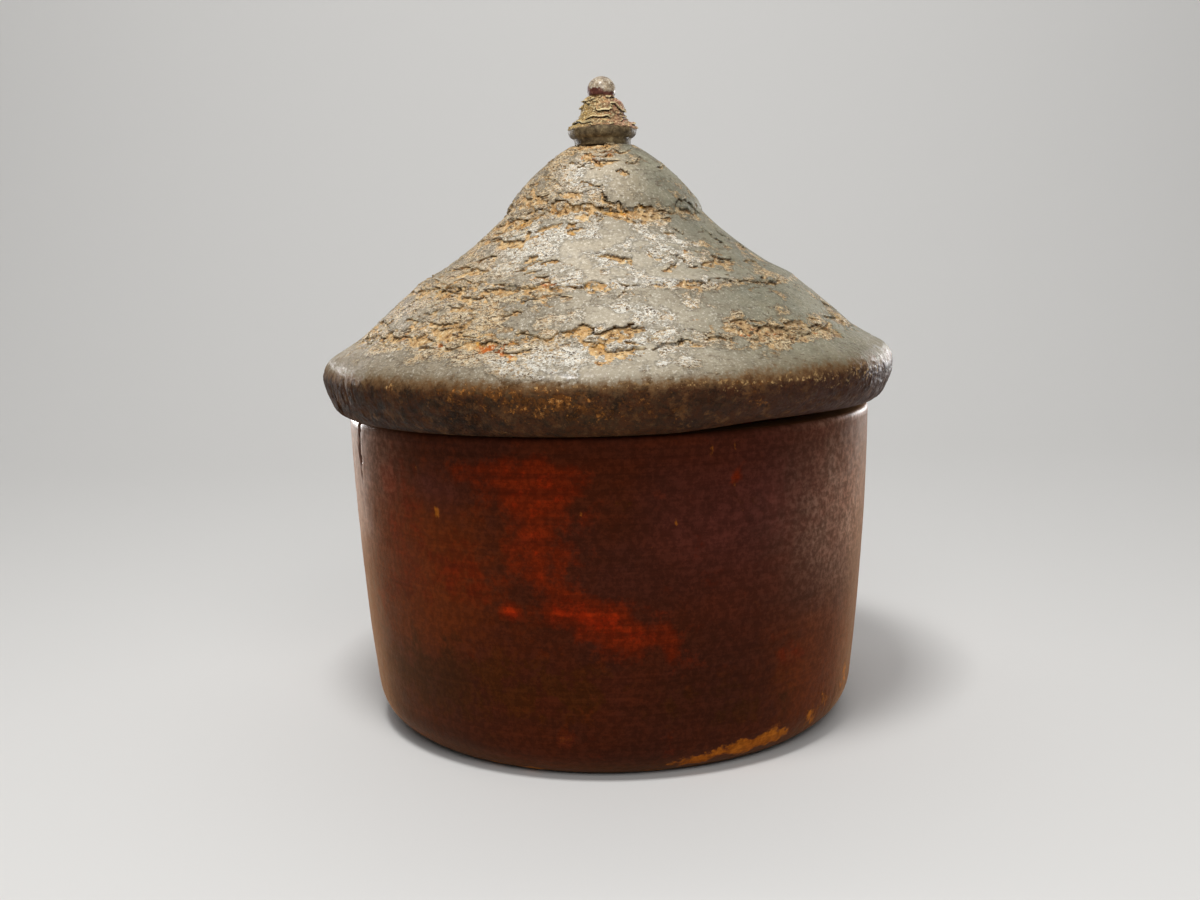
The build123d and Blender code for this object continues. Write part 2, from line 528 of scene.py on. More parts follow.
turning_lines, given, taken = new_group("Turning lines", [
    ("Vector", VECTOR, None), ("Pitch", FLOAT, 900.0), ("Drift", FLOAT, 6.0)], ["Height"])
rate = {0: given["Drift"], 1: given["Drift"], 2: given["Pitch"]}
rate = add(turning_lines, "ShaderNodeCombineXYZ", rate).outputs[0]
stretched = add(turning_lines, "ShaderNodeVectorMath", {0: given["Vector"], 1: rate}, operation="MULTIPLY")
connect(turning_lines, taken["Height"], clouds(turning_lines, stretched.outputs[0], 1.0))

grit, given, taken = new_group("Grit", [
    ("Vector", VECTOR, None), ("Size", FLOAT, 500.0), ("Coarse", FLOAT, 0.5)], ["Height"])
fine = clouds(grit, given["Vector"], given["Size"], 5.0, 0.65)
lumps = clouds(grit, given["Vector"], times(grit, given["Size"], 0.22))
connect(grit, taken["Height"], maths(grit, "ADD", fine, times(grit, lumps, given["Coarse"])))

lace, given, taken = new_group("Lace", [
    ("Vector", VECTOR, None), ("Scale", FLOAT, 900.0), ("Width", FLOAT, 0.04)], ["Mask"])
wrinkles = clouds(lace, given["Vector"], given["Scale"])
from_middle = maths(lace, "ABSOLUTE", maths(lace, "SUBTRACT", wrinkles, 0.5))
connect(lace, taken["Mask"], step_between(lace, from_middle, given["Width"], 0.0))
print(f"{len(bpy.data.node_groups)} effects")

# %% [markdown]
# ## Flakes too small for the mesh
# The smallest flakes are a fraction of a millimetre, finer than the mesh can hold. A flake is known by
# three things: the patch that it left, the shadow under its upper edge, and the light on its lower one.
# This group finds the lost patches in a noise. It looks at the same noise a step higher and a step
# lower, and where the answer differs there is an edge.

# %% Flakes
FLAKE_NEED, FLAKE_SURE = 0.575, 0.6
flakes, given, taken = new_group("Flakes", [
    ("Vector", VECTOR, None), ("Scale", FLOAT, 600.0), ("Step", FLOAT, 0.0003), ("Worn", FLOAT, 0.0)],
    ["Lost", "Shade", "Lip"])
squat = {0: given["Vector"], 1: (1.0, 1.0, 1.8)}
flat = add(flakes, "ShaderNodeVectorMath", squat, operation="MULTIPLY").outputs[0]
lift = add(flakes, "ShaderNodeCombineXYZ", {2: given["Step"]}).outputs[0]


def flaked_at(way):
    """1 where the flakes are lost, a step along the way: the noise, helped by the wear, passes a need."""
    place = add(flakes, "ShaderNodeVectorMath", {0: flat, 1: lift}, operation=way).outputs[0] if way else flat
    chance = clouds(flakes, place, given["Scale"], 5.0, 0.65)
    return step_between(flakes, maths(flakes, "ADD", chance, given["Worn"]), FLAKE_NEED, FLAKE_SURE)


here, higher, lower = flaked_at(None), flaked_at("ADD"), flaked_at("SUBTRACT")
connect(flakes, taken["Lost"], here)
connect(flakes, taken["Shade"], times(flakes, here, maths(flakes, "SUBTRACT", 1.0, higher)))
connect(flakes, taken["Lip"], times(flakes, lower, maths(flakes, "SUBTRACT", 1.0, here)))

# %% [markdown]
# ## The pot's finish
# Dark maroon lacquer, rubbed back to vermilion where hands have held it, plum under the lip, with an
# olive-brown bloom low down. Fine rings from the lathe still show through. One painted picture round the pot
# could hold all this, but it would blur near to. So the mesh carries soft masks that say where each colour
# lies, and noise in the material breaks their edges up, at any distance. The coats go on in order: stains
# first, then what hands rubbed off, then a pale sheen on the flanks and by the lip, which is a painted
# highlight, then the nicks, and last a painted shade in the drying crack.

# %% Colours of the lacquer
lacquer, tree, shader, own = new_material("old_lacquer")
cloud = use(tree, patches, own, scale=34.0, detail=6.0, roughness=0.65, low=0.35, high=0.66)
mottle = use(tree, patches, own, scale=140.0, detail=9.0, roughness=0.72, low=0.3, high=0.72)
fine_cloud = use(tree, patches, own, scale=700.0, detail=4.0, roughness=0.7, low=0.3, high=0.72)
rings = use(tree, turning_lines, own, pitch=1500.0, drift=14.0)
smears = step_between(tree, use(tree, turning_lines, own, pitch=420.0, drift=34.0), 0.4, 0.62)
worn = broken(tree, "worn", mottle, 0.9, 0.4, 0.7)
painted_sheen = times(tree, "painted_sheen", between(tree, fine_cloud, 0.32, 0.75))

colour = coats(tree, blend(tree, cloud, (84, 35, 17), (72, 34, 23)), [
    (smears, 0.45, (66, 30, 17)),
    (broken(tree, "warm", mottle, 0.5, 0.1, 0.9), 1.0, blend(tree, mottle, (120, 50, 14), (96, 40, 12))),
    ("plum", 1.0, blend(tree, mottle, (100, 50, 42), (74, 36, 30))),
    (broken(tree, "olive", mottle, 0.7), 0.8, blend(tree, cloud, (84, 40, 12), (66, 34, 14))),
    (broken(tree, "rubbed", mottle, 0.7, 0.15, 0.7), 0.9, blend(tree, smears, (124, 38, 10), (104, 32, 10))),
    (broken(tree, "rubbed", mottle, 1.1, 0.7, 1.5), 0.85, blend(tree, smears, (188, 50, 9), (158, 40, 9))),
    (worn, 1.0, blend(tree, mottle, (150, 74, 14), (204, 118, 34))),
    # a pale pink sheen on the flanks and by the lip, painted into the colour as a highlight
    (painted_sheen, 1.0, blend(tree, mottle, (186, 134, 112), (214, 170, 146))),
    (broken(tree, "nick", fine_cloud, 0.4, 0.35, 0.85), 0.75, (176, 100, 26)),
    # painted shade in the drying crack
    ("dark", 0.9, (30, 15, 10)),
])
flecks = step_between(tree, fine_cloud, 0.15, 0.9)
for mask, dim in ((flecks, (214, 212, 210)), (rings, (196, 194, 192))):
    colour = blend(tree, 1.0, colour, blend(tree, mask, dim, (255, 255, 255)), "MULTIPLY")
connect(tree, shader["Base Color"], colour)

# %% [markdown]
# Rubbed lacquer is half dull, duller where it is worn through. The flanks keep a shine, the left most.
# At a glancing angle the old surface scatters light, which gives the flanks a tan haze. A painted haze
# would turn with the pot. The shader's sheen doesn't, so it is used here with a tan tint.

# %% Gloss and relief of the lacquer
connect(tree, shader["Roughness"], most(tree, between(tree, mottle, 0.4, 0.56), between(tree, worn, 0, 0.8)))
wave = relief(tree, rings, 0.05, 0.6)
grain = use(tree, grit, own, size=1100.0, coarse=1.2)
connect(tree, shader["Normal"], relief(tree, grain, 0.09, 0.6, wave))
connect(tree, shader["Coat Weight"], between(tree, broken(tree, "sheen", mottle, 0.5, 0.1, 1.0), 0, 0.5))
shader["Coat Roughness"].default_value = 0.3
shader["Specular IOR Level"].default_value = 0.03
shader["Specular Tint"].default_value = (1.0, 0.62, 0.48, 1.0)
shader["Sheen Weight"].default_value = 0.24
shader["Sheen Roughness"].default_value = 0.4
shader["Sheen Tint"].default_value = srgb(240, 176, 112)
print(f"{lacquer.name}: {len(tree.nodes)} nodes")

# %% [markdown]
# ## The pot
# The pot is one thick-walled vessel, turned from one block, and the shape is its outline carried round
# the axis. The plain solid with a bump map would do from a distance. But its drying crack, its nicks and
# its pitted heel catch the light at the outline, so they are cut into the surface itself.

# %% The pot's outline
lip_r, heel_r, foot_r, foot_hollow_r, heel_z, foot_rise = 64.0, 59.8, 52.2, 40.2, 10.0, 1.4
mouth_r, bowl_floor_r, bowl_floor_z, bowl_corner = 56.4, 52.0, 9.0, 13.0
lip_round, mouth_round, mouth_z = 1.3, 0.9, spigot_z - 2.0
round_step, close_step, wide_step = 0.4, 0.8, 4.0

pot_outline = chain((0, bowl_floor_z), [
    ((bowl_floor_r - bowl_corner, bowl_floor_z), 0, wide_step),
    ((bowl_floor_r, bowl_floor_z + bowl_corner), -3.8, wide_step),
    ((mouth_r, mouth_z), 0, wide_step),
    ((mouth_r, lip_z - mouth_round), 0, wide_step),
    ((mouth_r + mouth_round, lip_z), 0.26, round_step),
    ((lip_r - lip_round, lip_z), 0, close_step),
    ((lip_r, lip_z - lip_round), 0.38, round_step),
    ((heel_r, heel_z), 0.8, close_step),
    ((foot_r, 0), 1.9, close_step),
    ((foot_hollow_r, 0), 0, wide_step),
    ((0, foot_rise), 0, wide_step),
])
pot_columns = 600
points, out, down, azimuth = turned(pot_outline, pot_columns)
radius, z = np.hypot(points[..., 0], points[..., 1]), points[..., 2]
outside = ease(radius, lip_r - 13.0, lip_r - 11.0) * ease(z, 0.0, 0.6) * (out[..., 2] < 0.9)
outside = outside * ease((out[..., :2] * points[..., :2]).sum(axis=-1), -1.0, 0.0)
print(f"pot outline: {len(pot_outline)} points")

# %% [markdown]
# ## The pot's wear
# The largest marks stand where the real pot has them, each as a soft oval in a list. Its row holds the
# azimuth and the height of its middle, its half width and half height in millimetres, and its strength,
# which takes away where it is negative. Beyond azimuth 90 the marks are a guess.

# %% Where the pot is rubbed, stained, nicked and worn
rubbed_places = [
    (-26, 68, 14, 5, 0.6), (-12, 67.5, 9, 6, 0.75), (-16, 61, 10, 5, 0.45), (-48, 54, 14, 14, 0.5),
    (-13, 52, 7, 10, 0.45), (-30, 46, 18, 9, 0.4), (-9, 40, 5, 3.0, 0.9), (-3, 37.5, 6.5, 4.4, 1.1),
    (3, 33, 6, 5, 0.8), (11, 31, 6, 6, 0.5), (-21, 38.8, 2.2, 1.8, 0.9), (-52, 66, 8, 5, 0.35),
    (11, 31, 1.6, 4, 0.5), (-31, 28, 4, 2, 0.35), (24, 67, 1.4, 1.6, 0.7), (17, 53.5, 3, 3, 0.35),
    (13, 49.5, 3, 3, 0.3), (52, 47, 6, 3, 0.3), (40, 25.5, 7, 4, 0.6), (-37, 66, 5, 4, -0.5),
    (-15, 52.3, 0.9, 1.0, 0.5), (-7, 50.3, 0.9, 1.2, 0.5), (-10, 64, 1.2, 1.0, 0.4), (-58, 34, 6, 8, 0.3),
    (140, 56, 26, 9, 0.5), (172, 30, 28, 8, 0.5), (-120, 48, 26, 11, 0.55), (98, 30, 20, 7, 0.4),
    (150, 50, 7, 3, 0.4),
]
olive_places = [
    (-44, 22, 26, 11, 0.75), (-15, 60.5, 5, 4, 0.6), (-5, 22, 26, 9, 0.5), (26, 63, 4, 4, 0.5),
    (2, 63.5, 3, 2, 0.5), (30, 15, 20, 8, 0.5), (160, 18, 40, 12, 0.6), (-130, 24, 30, 14, 0.5),
]
plum_places = [
    (-38, 65, 6, 4, 0.8), (24, 56, 18, 16, 0.7), (32, 62, 10, 10, 0.5), (52, 60, 14, 18, 0.6),
    (-66, 58, 6, 18, 0.5), (-130, 60, 30, 18, 0.5), (120, 50, 26, 22, 0.5),
]
nick_places = [
    (-37, 59.5, 0.8, 1.9, 1.0), (-42, 68.8, 0.5, 1.3, 0.6), (-6, 60.8, 0.6, 0.8, 0.6),
    (-58, 56.3, 0.7, 0.7, 0.6), (19, 73.2, 0.5, 1.7, 0.8), (24, 73.5, 0.4, 1.3, 0.7),
    (24, 65.6, 0.8, 0.7, 0.9), (12, 58, 0.4, 1.1, 0.7), (26, 59.8, 0.6, 0.4, 0.8),
    (7, 53.5, 0.6, 0.5, 0.8), (35, 72.3, 0.5, 0.5, 0.6), (150, 60, 0.7, 1.8, 0.9),
    (-150, 50, 0.8, 1.6, 0.9), (96, 64, 0.6, 2.0, 0.8), (-105, 30, 0.7, 1.8, 0.8),
]
worn_places = [
    (31, 5.0, 10, 2.2, 1.2), (17, 3.0, 6, 1.6, 1.1), (-20, 1.0, 16, 0.8, 0.5), (-52, 4.0, 7, 2.0, 0.5),
    (54, 8.0, 8, 5.0, 0.55), (66, 14.0, 6, 6.0, 0.4), (120, 2.0, 12, 2.5, 0.9), (-160, 1.5, 14, 2.0, 0.8),
]

rubbed = places(points, azimuth, rubbed_places) + 0.22 * fractal(points, (14, 14, 8), 4, 3)
olive = places(points, azimuth, olive_places) + 0.2 * fractal(points, (14, 14, 9), 3, 9)
plum = places(points, azimuth, plum_places) + 0.2 * fractal(points, 11, 3, 13)
nick = places(points, azimuth, nick_places) * outside
worn = (places(points, azimuth, worn_places) + 0.3 * bell(z, 0.0, 1.0)) * outside
print(f"{len(rubbed_places)} rubbed places, {len(nick_places)} nicks")

# %% [markdown]
# A drying crack runs down from the lip on the left, where the lacquer is also finely crinkled. The heel
# is pitted on the right. All of these are cut into the surface, in millimetres.

# %% The pot's crack, crinkles and pits
crack_azimuth, crack_lean, crack_end_z = -65.5, 0.05, 61.0
wander = noise(points, 3.5, 60) + 0.5 * noise(points, 1.3, 61)
crack_line = crack_azimuth + crack_lean * (z - 72.0) + wander
crack_across = np.radians(azimuth - crack_line) * radius
crack = bell(crack_across, 0.0, 0.42) * ease(z, crack_end_z, crack_end_z + 7.0) * outside
crinkled = bell(azimuth, -70.0, 11.0) * ease(z, 34.0, 58.0)
crinkled += 0.5 * bell(azimuth, 56.0, 10.0) * ease(z, 48.0, 58.0)
warm_side = bell(azimuth, -45.0, 25.0) * bell(z, 44.0, 28.0)
warm_side += 1.1 * bell(azimuth, 52.0, 18.0) * bell(z, 20.0, 18.0)
# The pale pink sheen on both flanks and by the lip on the right is not cut in. It is a mask for a highlight
# painted into the colour.
painted_sheen = 0.9 * bell(azimuth, -76.0, 12.0) * ease(z, 40.0, 56.0)
painted_sheen += 1.2 * bell(azimuth, 58.0, 15.0) * bell(z, 56.0, 17.0)
painted_sheen += 0.4 * bell(azimuth, -58.0, 9.0) * ease(z, 54.0, 70.0)
painted_sheen += 0.9 * bell(azimuth, 66.0, 18.0) * ease(z, lip_z - 2.2, lip_z - 0.8)
sheen = bell(azimuth, -70.0, 9.0) * ease(z, 36.0, 58.0)
sheen += 0.4 * bell(azimuth, 64.0, 14.0) * ease(z, 44.0, 60.0)
pitted = ease(azimuth, 26.0, 44.0) * (1 - ease(azimuth, 90.0, 130.0)) * (1 - ease(z, 9.0, 16.0))
pitted += 0.25 * (z < 8)
gap = plates(points, (1.5, 1.5, 1.0), 3)
uneven = 0.16 * fractal(points, 34, 3, 20) + 0.05 * fractal(points, 4, 3, 24)
wrinkled = crinkled * (0.16 * gap + 0.1 * fractal(points, (1.4, 1.4, 2.2), 2, 30))
pocked = 0.2 * pitted * noise(points, 1.0, 33) ** 2
wall_relief = outside * (uneven - 0.2 * np.clip(nick, 0, 1) - 0.8 * crack + wrinkled - pocked)

pot = build("pot_vessel", points + out * wall_relief[..., None], {
    "rubbed": rubbed * outside, "olive": olive * outside, "plum": np.clip(plum, 0, 1), "nick": nick,
    "worn": worn, "warm": warm_side, "painted_sheen": painted_sheen * outside, "sheen": sheen * outside,
    # the crack's groove is darkened in the colour as a painted shade
    "dark": np.clip(crack * 1.4, 0, 1),
})
pot.data.materials.append(lacquer)
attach(pot, "pot")
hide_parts("pot")

# %% [markdown]
# ## The crust's finish
# On the real lid the skin is a stone-grey mixture of powder, oil and dust, mottled and full of fine bright
# glints, which are painted into the colour here as highlights. Where a flake has come away the wood below is
# pale tan, with yellow and orange from the powder right under the cracks. The mesh says where the wood is
# bare, where a flake's edge stands proud and where its shadow side is, and the material puts colours to that:
# a painted highlight on the proud edge and a painted shade on the shadow side. It is built up in the order of
# the real layers, one cell each: grey skin, crumbs and flakes, stained band, bare wood.

# %% Noises of the crust
crust, tree, shader, own = new_material("old_crust")
cloud = use(tree, patches, own, scale=60.0, detail=4.0, low=0.38, high=0.62)
weathered = use(tree, patches, own, scale=26.0, detail=5.0, roughness=0.6, low=0.46, high=0.6)
mottle = use(tree, patches, own, scale=330.0, detail=6.0, roughness=0.72, low=0.34, high=0.66)
breaker = use(tree, patches, own, scale=480.0, detail=6.0, roughness=0.78, low=0.25, high=0.75)
pits = use(tree, patches, own, scale=1000.0, detail=4.0, roughness=0.75, low=0.55, high=0.64)
specks = use(tree, patches, own, scale=1500.0, detail=4.0, roughness=0.72, low=0.53, high=0.64)
dashes = use(tree, turning_lines, own, pitch=2000.0, drift=420.0)
crumbs = clouds(tree, own, 820.0, 5.0, 0.72)
crumb_gaps = step_between(tree, crumbs, 0.45, 0.39)
crumb_tops = step_between(tree, crumbs, 0.54, 0.6)

# %% Grey skin
calm = between(tree, "cool", 1.0, 0.4)
rotten = broken(tree, "crumb", breaker, 0.7, 0.4, 0.8)
skin = coats(tree, blend(tree, cloud, (156, 146, 127), (126, 118, 101)), [
    (weathered, 0.45, (168, 146, 110)),
    ("warm", 1.0, blend(tree, cloud, (144, 124, 95), (112, 96, 72))),
    ("cool", 1.0, blend(tree, cloud, (132, 129, 108), (104, 104, 88))),
    # darker mottles and pale broken patches: partly the skin's own tone, partly painted shade and highlight
    # of its roughness
    (times(tree, mottle, calm), 0.6, (106, 90, 66)),
    (times(tree, breaker, between(tree, rotten, 0.16, 0.5), calm), 1.0, (240, 227, 200)),
    (step_between(tree, dashes, 0.57, 0.68), 0.7, (70, 54, 34)),
    (times(tree, pits, calm), 0.8, (56, 42, 28)),
    # towards the front the skin is painted paler, and there its white specks are painted glints, highlights
    # in the colour
    ("polish", 0.36, (224, 212, 190)),
    (times(tree, specks, calm, between(tree, rotten, 0.45, 1.0)), 1.0, (255, 247, 230)),
    (broken(tree, "thin", breaker, 0.8), 0.55, blend(tree, mottle, (206, 170, 122), (172, 132, 88))),
])

# %% [markdown]
# Round the damage the skin has gone to crumbs. Their tops carry a painted highlight and their gaps a painted
# shade, with flakes of two sizes lost among them. Towards the front the crumbs are painted nearly white, with
# a net of white lace over them, as painted glints.

# %% Crumbs and flakes
large = use(tree, flakes, own, scale=420.0, step=0.0005, worn=between(tree, rotten, -0.11, 0.09))
small = use(tree, flakes, own, scale=950.0, step=0.00035, worn=between(tree, rotten, -0.12, 0.1))
crumbled = most(tree, rotten, between(tree, large["Lost"], 0, 0.8))
lips = most(tree, between(tree, large["Lip"], 0, 0.7), between(tree, small["Lip"], 0, 0.8))
clusters = step_between(tree, times(tree, rotten, "polish", breaker), 0.1, 0.5)
fresh = coats(tree, blend(tree, mottle, (226, 184, 124), (196, 150, 94)), [("polish", 0.6, (214, 196, 164))])
skin = coats(tree, skin, [
    (rotten, 0.45, blend(tree, "polish", (168, 136, 94), (200, 184, 160))),
    (most(tree, large["Lost"], between(tree, small["Lost"], 0, 0.6)), 0.7, fresh),
    # crumb gaps and flake shadows are painted shade; crumb tops, flake lips and the white lace are painted
    # highlights
    (times(tree, crumbled, crumb_gaps), 0.7, blend(tree, "polish", (58, 36, 20), (84, 64, 44))),
    (times(tree, crumbled, crumb_tops), 0.6, blend(tree, "polish", (252, 230, 182), (255, 250, 238))),
    (most(tree, large["Shade"], between(tree, small["Shade"], 0, 0.8)), 0.85, (62, 38, 20)),
    (lips, 1.0, blend(tree, "polish", (232, 208, 162), (255, 248, 232))),
    (times(tree, use(tree, lace, own, scale=900.0, width=0.07), clusters), 1.0, (255, 251, 238)),
])

# %% [markdown]
# The band round the rim is stained nearly black by oil and dirt, with rust-brown veins, and pale sparks along
# its edge, which are painted glints. It fades into the skin across the nose, where the colour darkens partly
# as stain and partly as painted shade, as the nose turns away from the light.

# %% Stained band
blotches = use(tree, patches, own, scale=260.0, detail=7.0, roughness=0.8, low=0.53, high=0.6)
veins = use(tree, lace, own, scale=400.0, width=0.07)
rust = broken(tree, times(tree, "rust", between(tree, veins, 0.65, 1.0)), breaker, 1.0, 0.35, 0.75)
# pale sparks along the band's edge are painted glints, highlights in the colour
painted_band_glints = times(tree, crumb_tops, broken(tree, "spark", breaker, 1.0))
band = coats(tree, blend(tree, cloud, (54, 37, 22), (36, 25, 16)), [
    (mottle, 0.6, (88, 46, 22)),
    ("cool", 0.7, blend(tree, mottle, (72, 38, 28), (54, 28, 20))),
    (rust, 0.85, blend(tree, crumb_tops, (104, 62, 24), (184, 118, 52))),
    # painted shade in the gaps between crumbs
    (crumb_gaps, 0.6, (30, 21, 13)),
    (pits, 0.5, (26, 18, 12)),
    (blotches, 0.65, blend(tree, mottle, (112, 74, 42), (84, 54, 30))),
    (painted_band_glints, 0.8, (206, 168, 112)),
])
# across the nose the skin darkens, partly a stain and partly a painted shade
skin = coats(tree, skin, [
    ("nose", 0.7, (110, 95, 71)),
    (broken(tree, "band", breaker, 0.5, 0.1, 0.6), 1.0, (112, 84, 54)),
    (broken(tree, "band", breaker, 0.6, 0.35, 1.0), 1.0, band),
])

# %% [markdown]
# Bare wood lies in the lost flakes: pale on the left, greyer on the right, yellow and orange where powder has
# run under a crack, its crumbs with painted highlights on top and painted shade in the gaps. Over all lie the
# pale broken edges, which are painted highlights, and the dark shadow sides, which are painted shade.

# %% Bare wood and edges
bare = broken(tree, "bare", breaker, 0.9)
wood = coats(tree, blend(tree, mottle, (240, 202, 146), (200, 154, 100)), [
    ("cool", 1.0, blend(tree, mottle, (204, 174, 128), (178, 142, 104))),
    (broken(tree, "glow", breaker, 0.9, 0.6, 1.1), 1.0, (230, 172, 88)),
    (broken(tree, "ember", breaker, 0.8), 1.0, (206, 112, 48)),
    # painted shade in the gaps between crumbs, painted highlight on their tops
    (crumb_gaps, 0.85, (80, 48, 24)),
    (crumb_tops, 0.75, (252, 232, 190)),
])
connect(tree, shader["Base Color"], coats(tree, skin, [
    (bare, 1.0, wood),
    # painted highlight on the proud edges, then painted shade on the shadow sides
    (broken(tree, "edge", breaker, 0.6, 0.3, 0.7), 0.7, (244, 226, 188)),
    ("dark", 0.94, (38, 20, 9)),
]))

# %% [markdown]
# What is too fine for the mesh is a bump, in four sizes laid over one another: crumbs, flakes, the
# dashes of the scratches, and grit. Only the rubbed rings on the lid have a gloss, as a thin coat.

# %% Gloss and relief of the crust
dusty_end = step_between(tree, "nose", 0.8, 1.4)
connect(tree, shader["Roughness"], most(tree, between(tree, mottle, 0.44, 0.62), dusty_end))
crumbly = relief(tree, times(tree, crumbs, most(tree, rotten, bare)), 0.65, 0.9)
flaked = maths(tree, "ADD", large["Lost"], times(tree, small["Lost"], 0.5))
crumbly = relief(tree, maths(tree, "SUBTRACT", 1.0, flaked), 0.24, 0.9, crumbly)
scored = relief(tree, dashes, 0.14, 0.6, crumbly)
grain = use(tree, grit, own, size=1300.0, coarse=2.0)
connect(tree, shader["Normal"], relief(tree, grain, 0.32, 1.0, scored))
connect(tree, shader["Coat Weight"], between(tree, broken(tree, "gloss", breaker, 0.8), 0, 0.9))
shader["Coat Roughness"].default_value = 0.28
shader["Specular IOR Level"].default_value = 0.12
shader["Specular Tint"].default_value = (1.0, 0.86, 0.7, 1.0)
print(f"{crust.name}: {len(tree.nodes)} nodes")

# %% [markdown]
# ## The lid's outline
# Seen from the side the lid is a hat: a rounded crown, a hollow flute down to a ridge, a straight skirt
# down to a groove, and a wide rolled rim. The outline is cut into steps of a third of a millimetre,
# fine enough for a flake's edge, and its corners are softened a little, as handling has done. The way
# down the outline, from the knob to the lip, is the measure for everything that lies along the rings.

# %% Lid outline
neck_cover_r, bearing_width = 6.6, 3.5
seat_edge, crown, waist = (7.6, seat_z), (23.2, lip_z + 49.2), (24.1, lip_z + 46.7)
ridge, groove, brim = (46.2, lip_z + 30.3), (60.2, lip_z + 18.2), (66.0, lip_z + 14.7)
widest, band_foot, bearing_edge = (70.0, lip_z + 9.7), (68.5, lip_z + 4.3), (lip_r, lip_z)
flake_step = 0.33

skin_outline = chain((neck_cover_r, seat_z), [
    (seat_edge, 0, flake_step),
    (crown, 1.1, flake_step),
    (waist, 0, flake_step),
    (ridge, -1.0, flake_step),
    (groove, 0.2, flake_step),
    (brim, 0, flake_step),
    (widest, 0.9, flake_step),
    (band_foot, 0.3, flake_step),
    (bearing_edge, 0.9, flake_step),
    ((lip_r - bearing_width, lip_z), 0, 3 * flake_step),
])
for softening in range(3):
    skin_outline[1:-1] = (skin_outline[:-2] + 2 * skin_outline[1:-1] + skin_outline[2:]) / 4


def row_at(corner):
    """The row of the outline that lies nearest to a corner."""
    return int(np.argmin(np.hypot(*(skin_outline - corner).T)))


skin_columns = 1000
points, out, down, azimuth = turned(skin_outline, skin_columns)
radius, z = np.hypot(points[..., 0], points[..., 1]), points[..., 2]
way = np.concatenate([[0.0], np.cumsum(np.hypot(*np.diff(skin_outline, axis=0).T))])
way_down = np.broadcast_to(way[:, None], radius.shape)
print(f"lid outline: {len(skin_outline)} rows, {z.size} points, {way[-1]:.0f} mm down")

# %% [markdown]
# ## How the crust breaks
# A dried crust shrinks along the turning rings, so its cracks run round the lid: long, wavy lines, at
# three sizes. Above a crack the plate's edge curls up. Below it a layer is lost, most right under the
# crack and less further down. Not every line is open. Damage is a field over the whole lid: it is high
# at the ridge, the groove and the waist, higher on the left, and in the places listed, and it opens
# more lines, which also hold their own randomness along their length.

# %% Damage and layered cracks
damage_places = [
    (-10, 136, 7, 2, 0.3), (-45, 134, 8, 2, 0.25), (12, 132, 5, 2, 0.2), (6, 123, 9, 2, 0.3),
    (-34, 124, 8, 1.5, 0.2), (-45, 119, 7, 4, 0.3), (-27, 113, 5, 2.5, 0.3), (-55, 111, 12, 3, 0.25),
    (-50, 104, 12, 4, 0.25), (-36, 98.5, 9, 2.5, 0.3), (-60, 97, 10, 3, 0.3), (-2, 97, 10, 2, 0.3),
    (20, 111, 7, 1.5, 0.2), (42, 112, 5, 2, 0.25), (32, 97, 8, 2.5, 0.3), (48, 97, 10, 3, 0.2),
    (70, 97, 8, 3, 0.25), (60, 113, 9, 3, 0.1), (-130, 120, 25, 12, 0.2), (150, 104, 30, 6, 0.2),
    (110, 132, 16, 5, 0.2), (24, 102.5, 12, 3.0, -0.35), (56, 103, 9, 3.5, -0.2),
    (32, 129, 10, 4.5, -0.35), (62, 120, 10, 4, -0.1), (-6, 104, 10, 2.0, -0.3), (-8, 116, 7, 2.0, -0.15),
    (-46, 102.4, 4, 1.5, -0.3), (40, 97.7, 2.0, 1.2, -0.4),
]
damage = (
    0.35 * fractal(points, (15, 15, 7), 3, 100)
    - 0.12 * np.sin(np.radians(azimuth))
    + 0.3 * bell(z, ridge[1] - 0.5, 1.0)
    + 0.25 * bell(z, groove[1] + 1.0, 2.0)
    + 0.22 * bell(z, waist[1] - 0.3, 1.2)
    - 0.35 * (1 - ease(z, groove[1] - 2.5, groove[1] - 0.5))
    + places(points, azimuth, damage_places)
)
chips = fractal(points, (1.5, 1.5, 0.9), 3, 130)


def cracked(period, reach, need, layer):
    """Wavy lines round the lid, one each period. The way down is shifted by noise of three sizes, then
    cut into whole lines. A line is open where its own noise, helped by the damage, passes need. Gives,
    above the line below and below the line above, how far away that line is and how open."""
    drift = 0.5 * period * noise(points, (13, 13, 9), layer) + 2.4 * noise(points, (4.0, 4.0, 3.0), layer + 1)
    drift += 0.9 * fractal(points, (1.6, 1.6, 1.2), 3, layer + 2)
    place = (way_down + drift) / period
    line = np.floor(place)
    below = (place - line) * period

    def openness(line):
        along = np.stack([points[..., 0], points[..., 1], 9.7 * line], axis=-1)
        length = 2.2 + 0.7 * period
        return ease(noise(along, (length, length, 1.7), layer + 3) + 1.5 * damage - need, 0.0, 0.3)

    spread = reach * (0.8 + 1.2 * chips)
    return period - below, openness(line + 1), below / np.maximum(spread, 0.2), openness(line)


# A size of crack: its period, its reach down, the depth lost, the edge's lift, its need and its layer.
crack_sizes = [
    (6.4, 3.8, 0.50, 0.20, 0.42, 300),
    (3.3, 2.2, 0.40, 0.16, 0.44, 310),
    (1.7, 1.2, 0.30, 0.10, 0.42, 320),
]
raised, lost, glow = np.zeros_like(z), np.zeros_like(z), np.zeros_like(z)
for period, reach, depth, lift, need, layer in crack_sizes:
    above, open_next, below, open_last = cracked(period, reach, need, layer)
    raised += lift * open_next * (1 - ease(above, 0.0, 0.25 * period)) ** 2
    lost += depth * open_last * (1 - ease(below, 0.35, 1.0))
    glow += 0.5 * open_last * (1 - ease(below, 0.0, 0.6)) * ease(chips, -0.25, 0.15)
print(f"damage from {damage.min():.2f} to {damage.max():.2f}")

# %% [markdown]
# ## The long cracks
# A few long cracks give this lid its look, so they are placed one by one, each from one end to the
# other. A row holds the azimuth and height of one end and of the other, the lift of the edge above, the
# reach of the bare wood below, both in millimetres, and how yellow it glows with powder. Each line is
# roughened by noise and tapers to nothing at both ends.

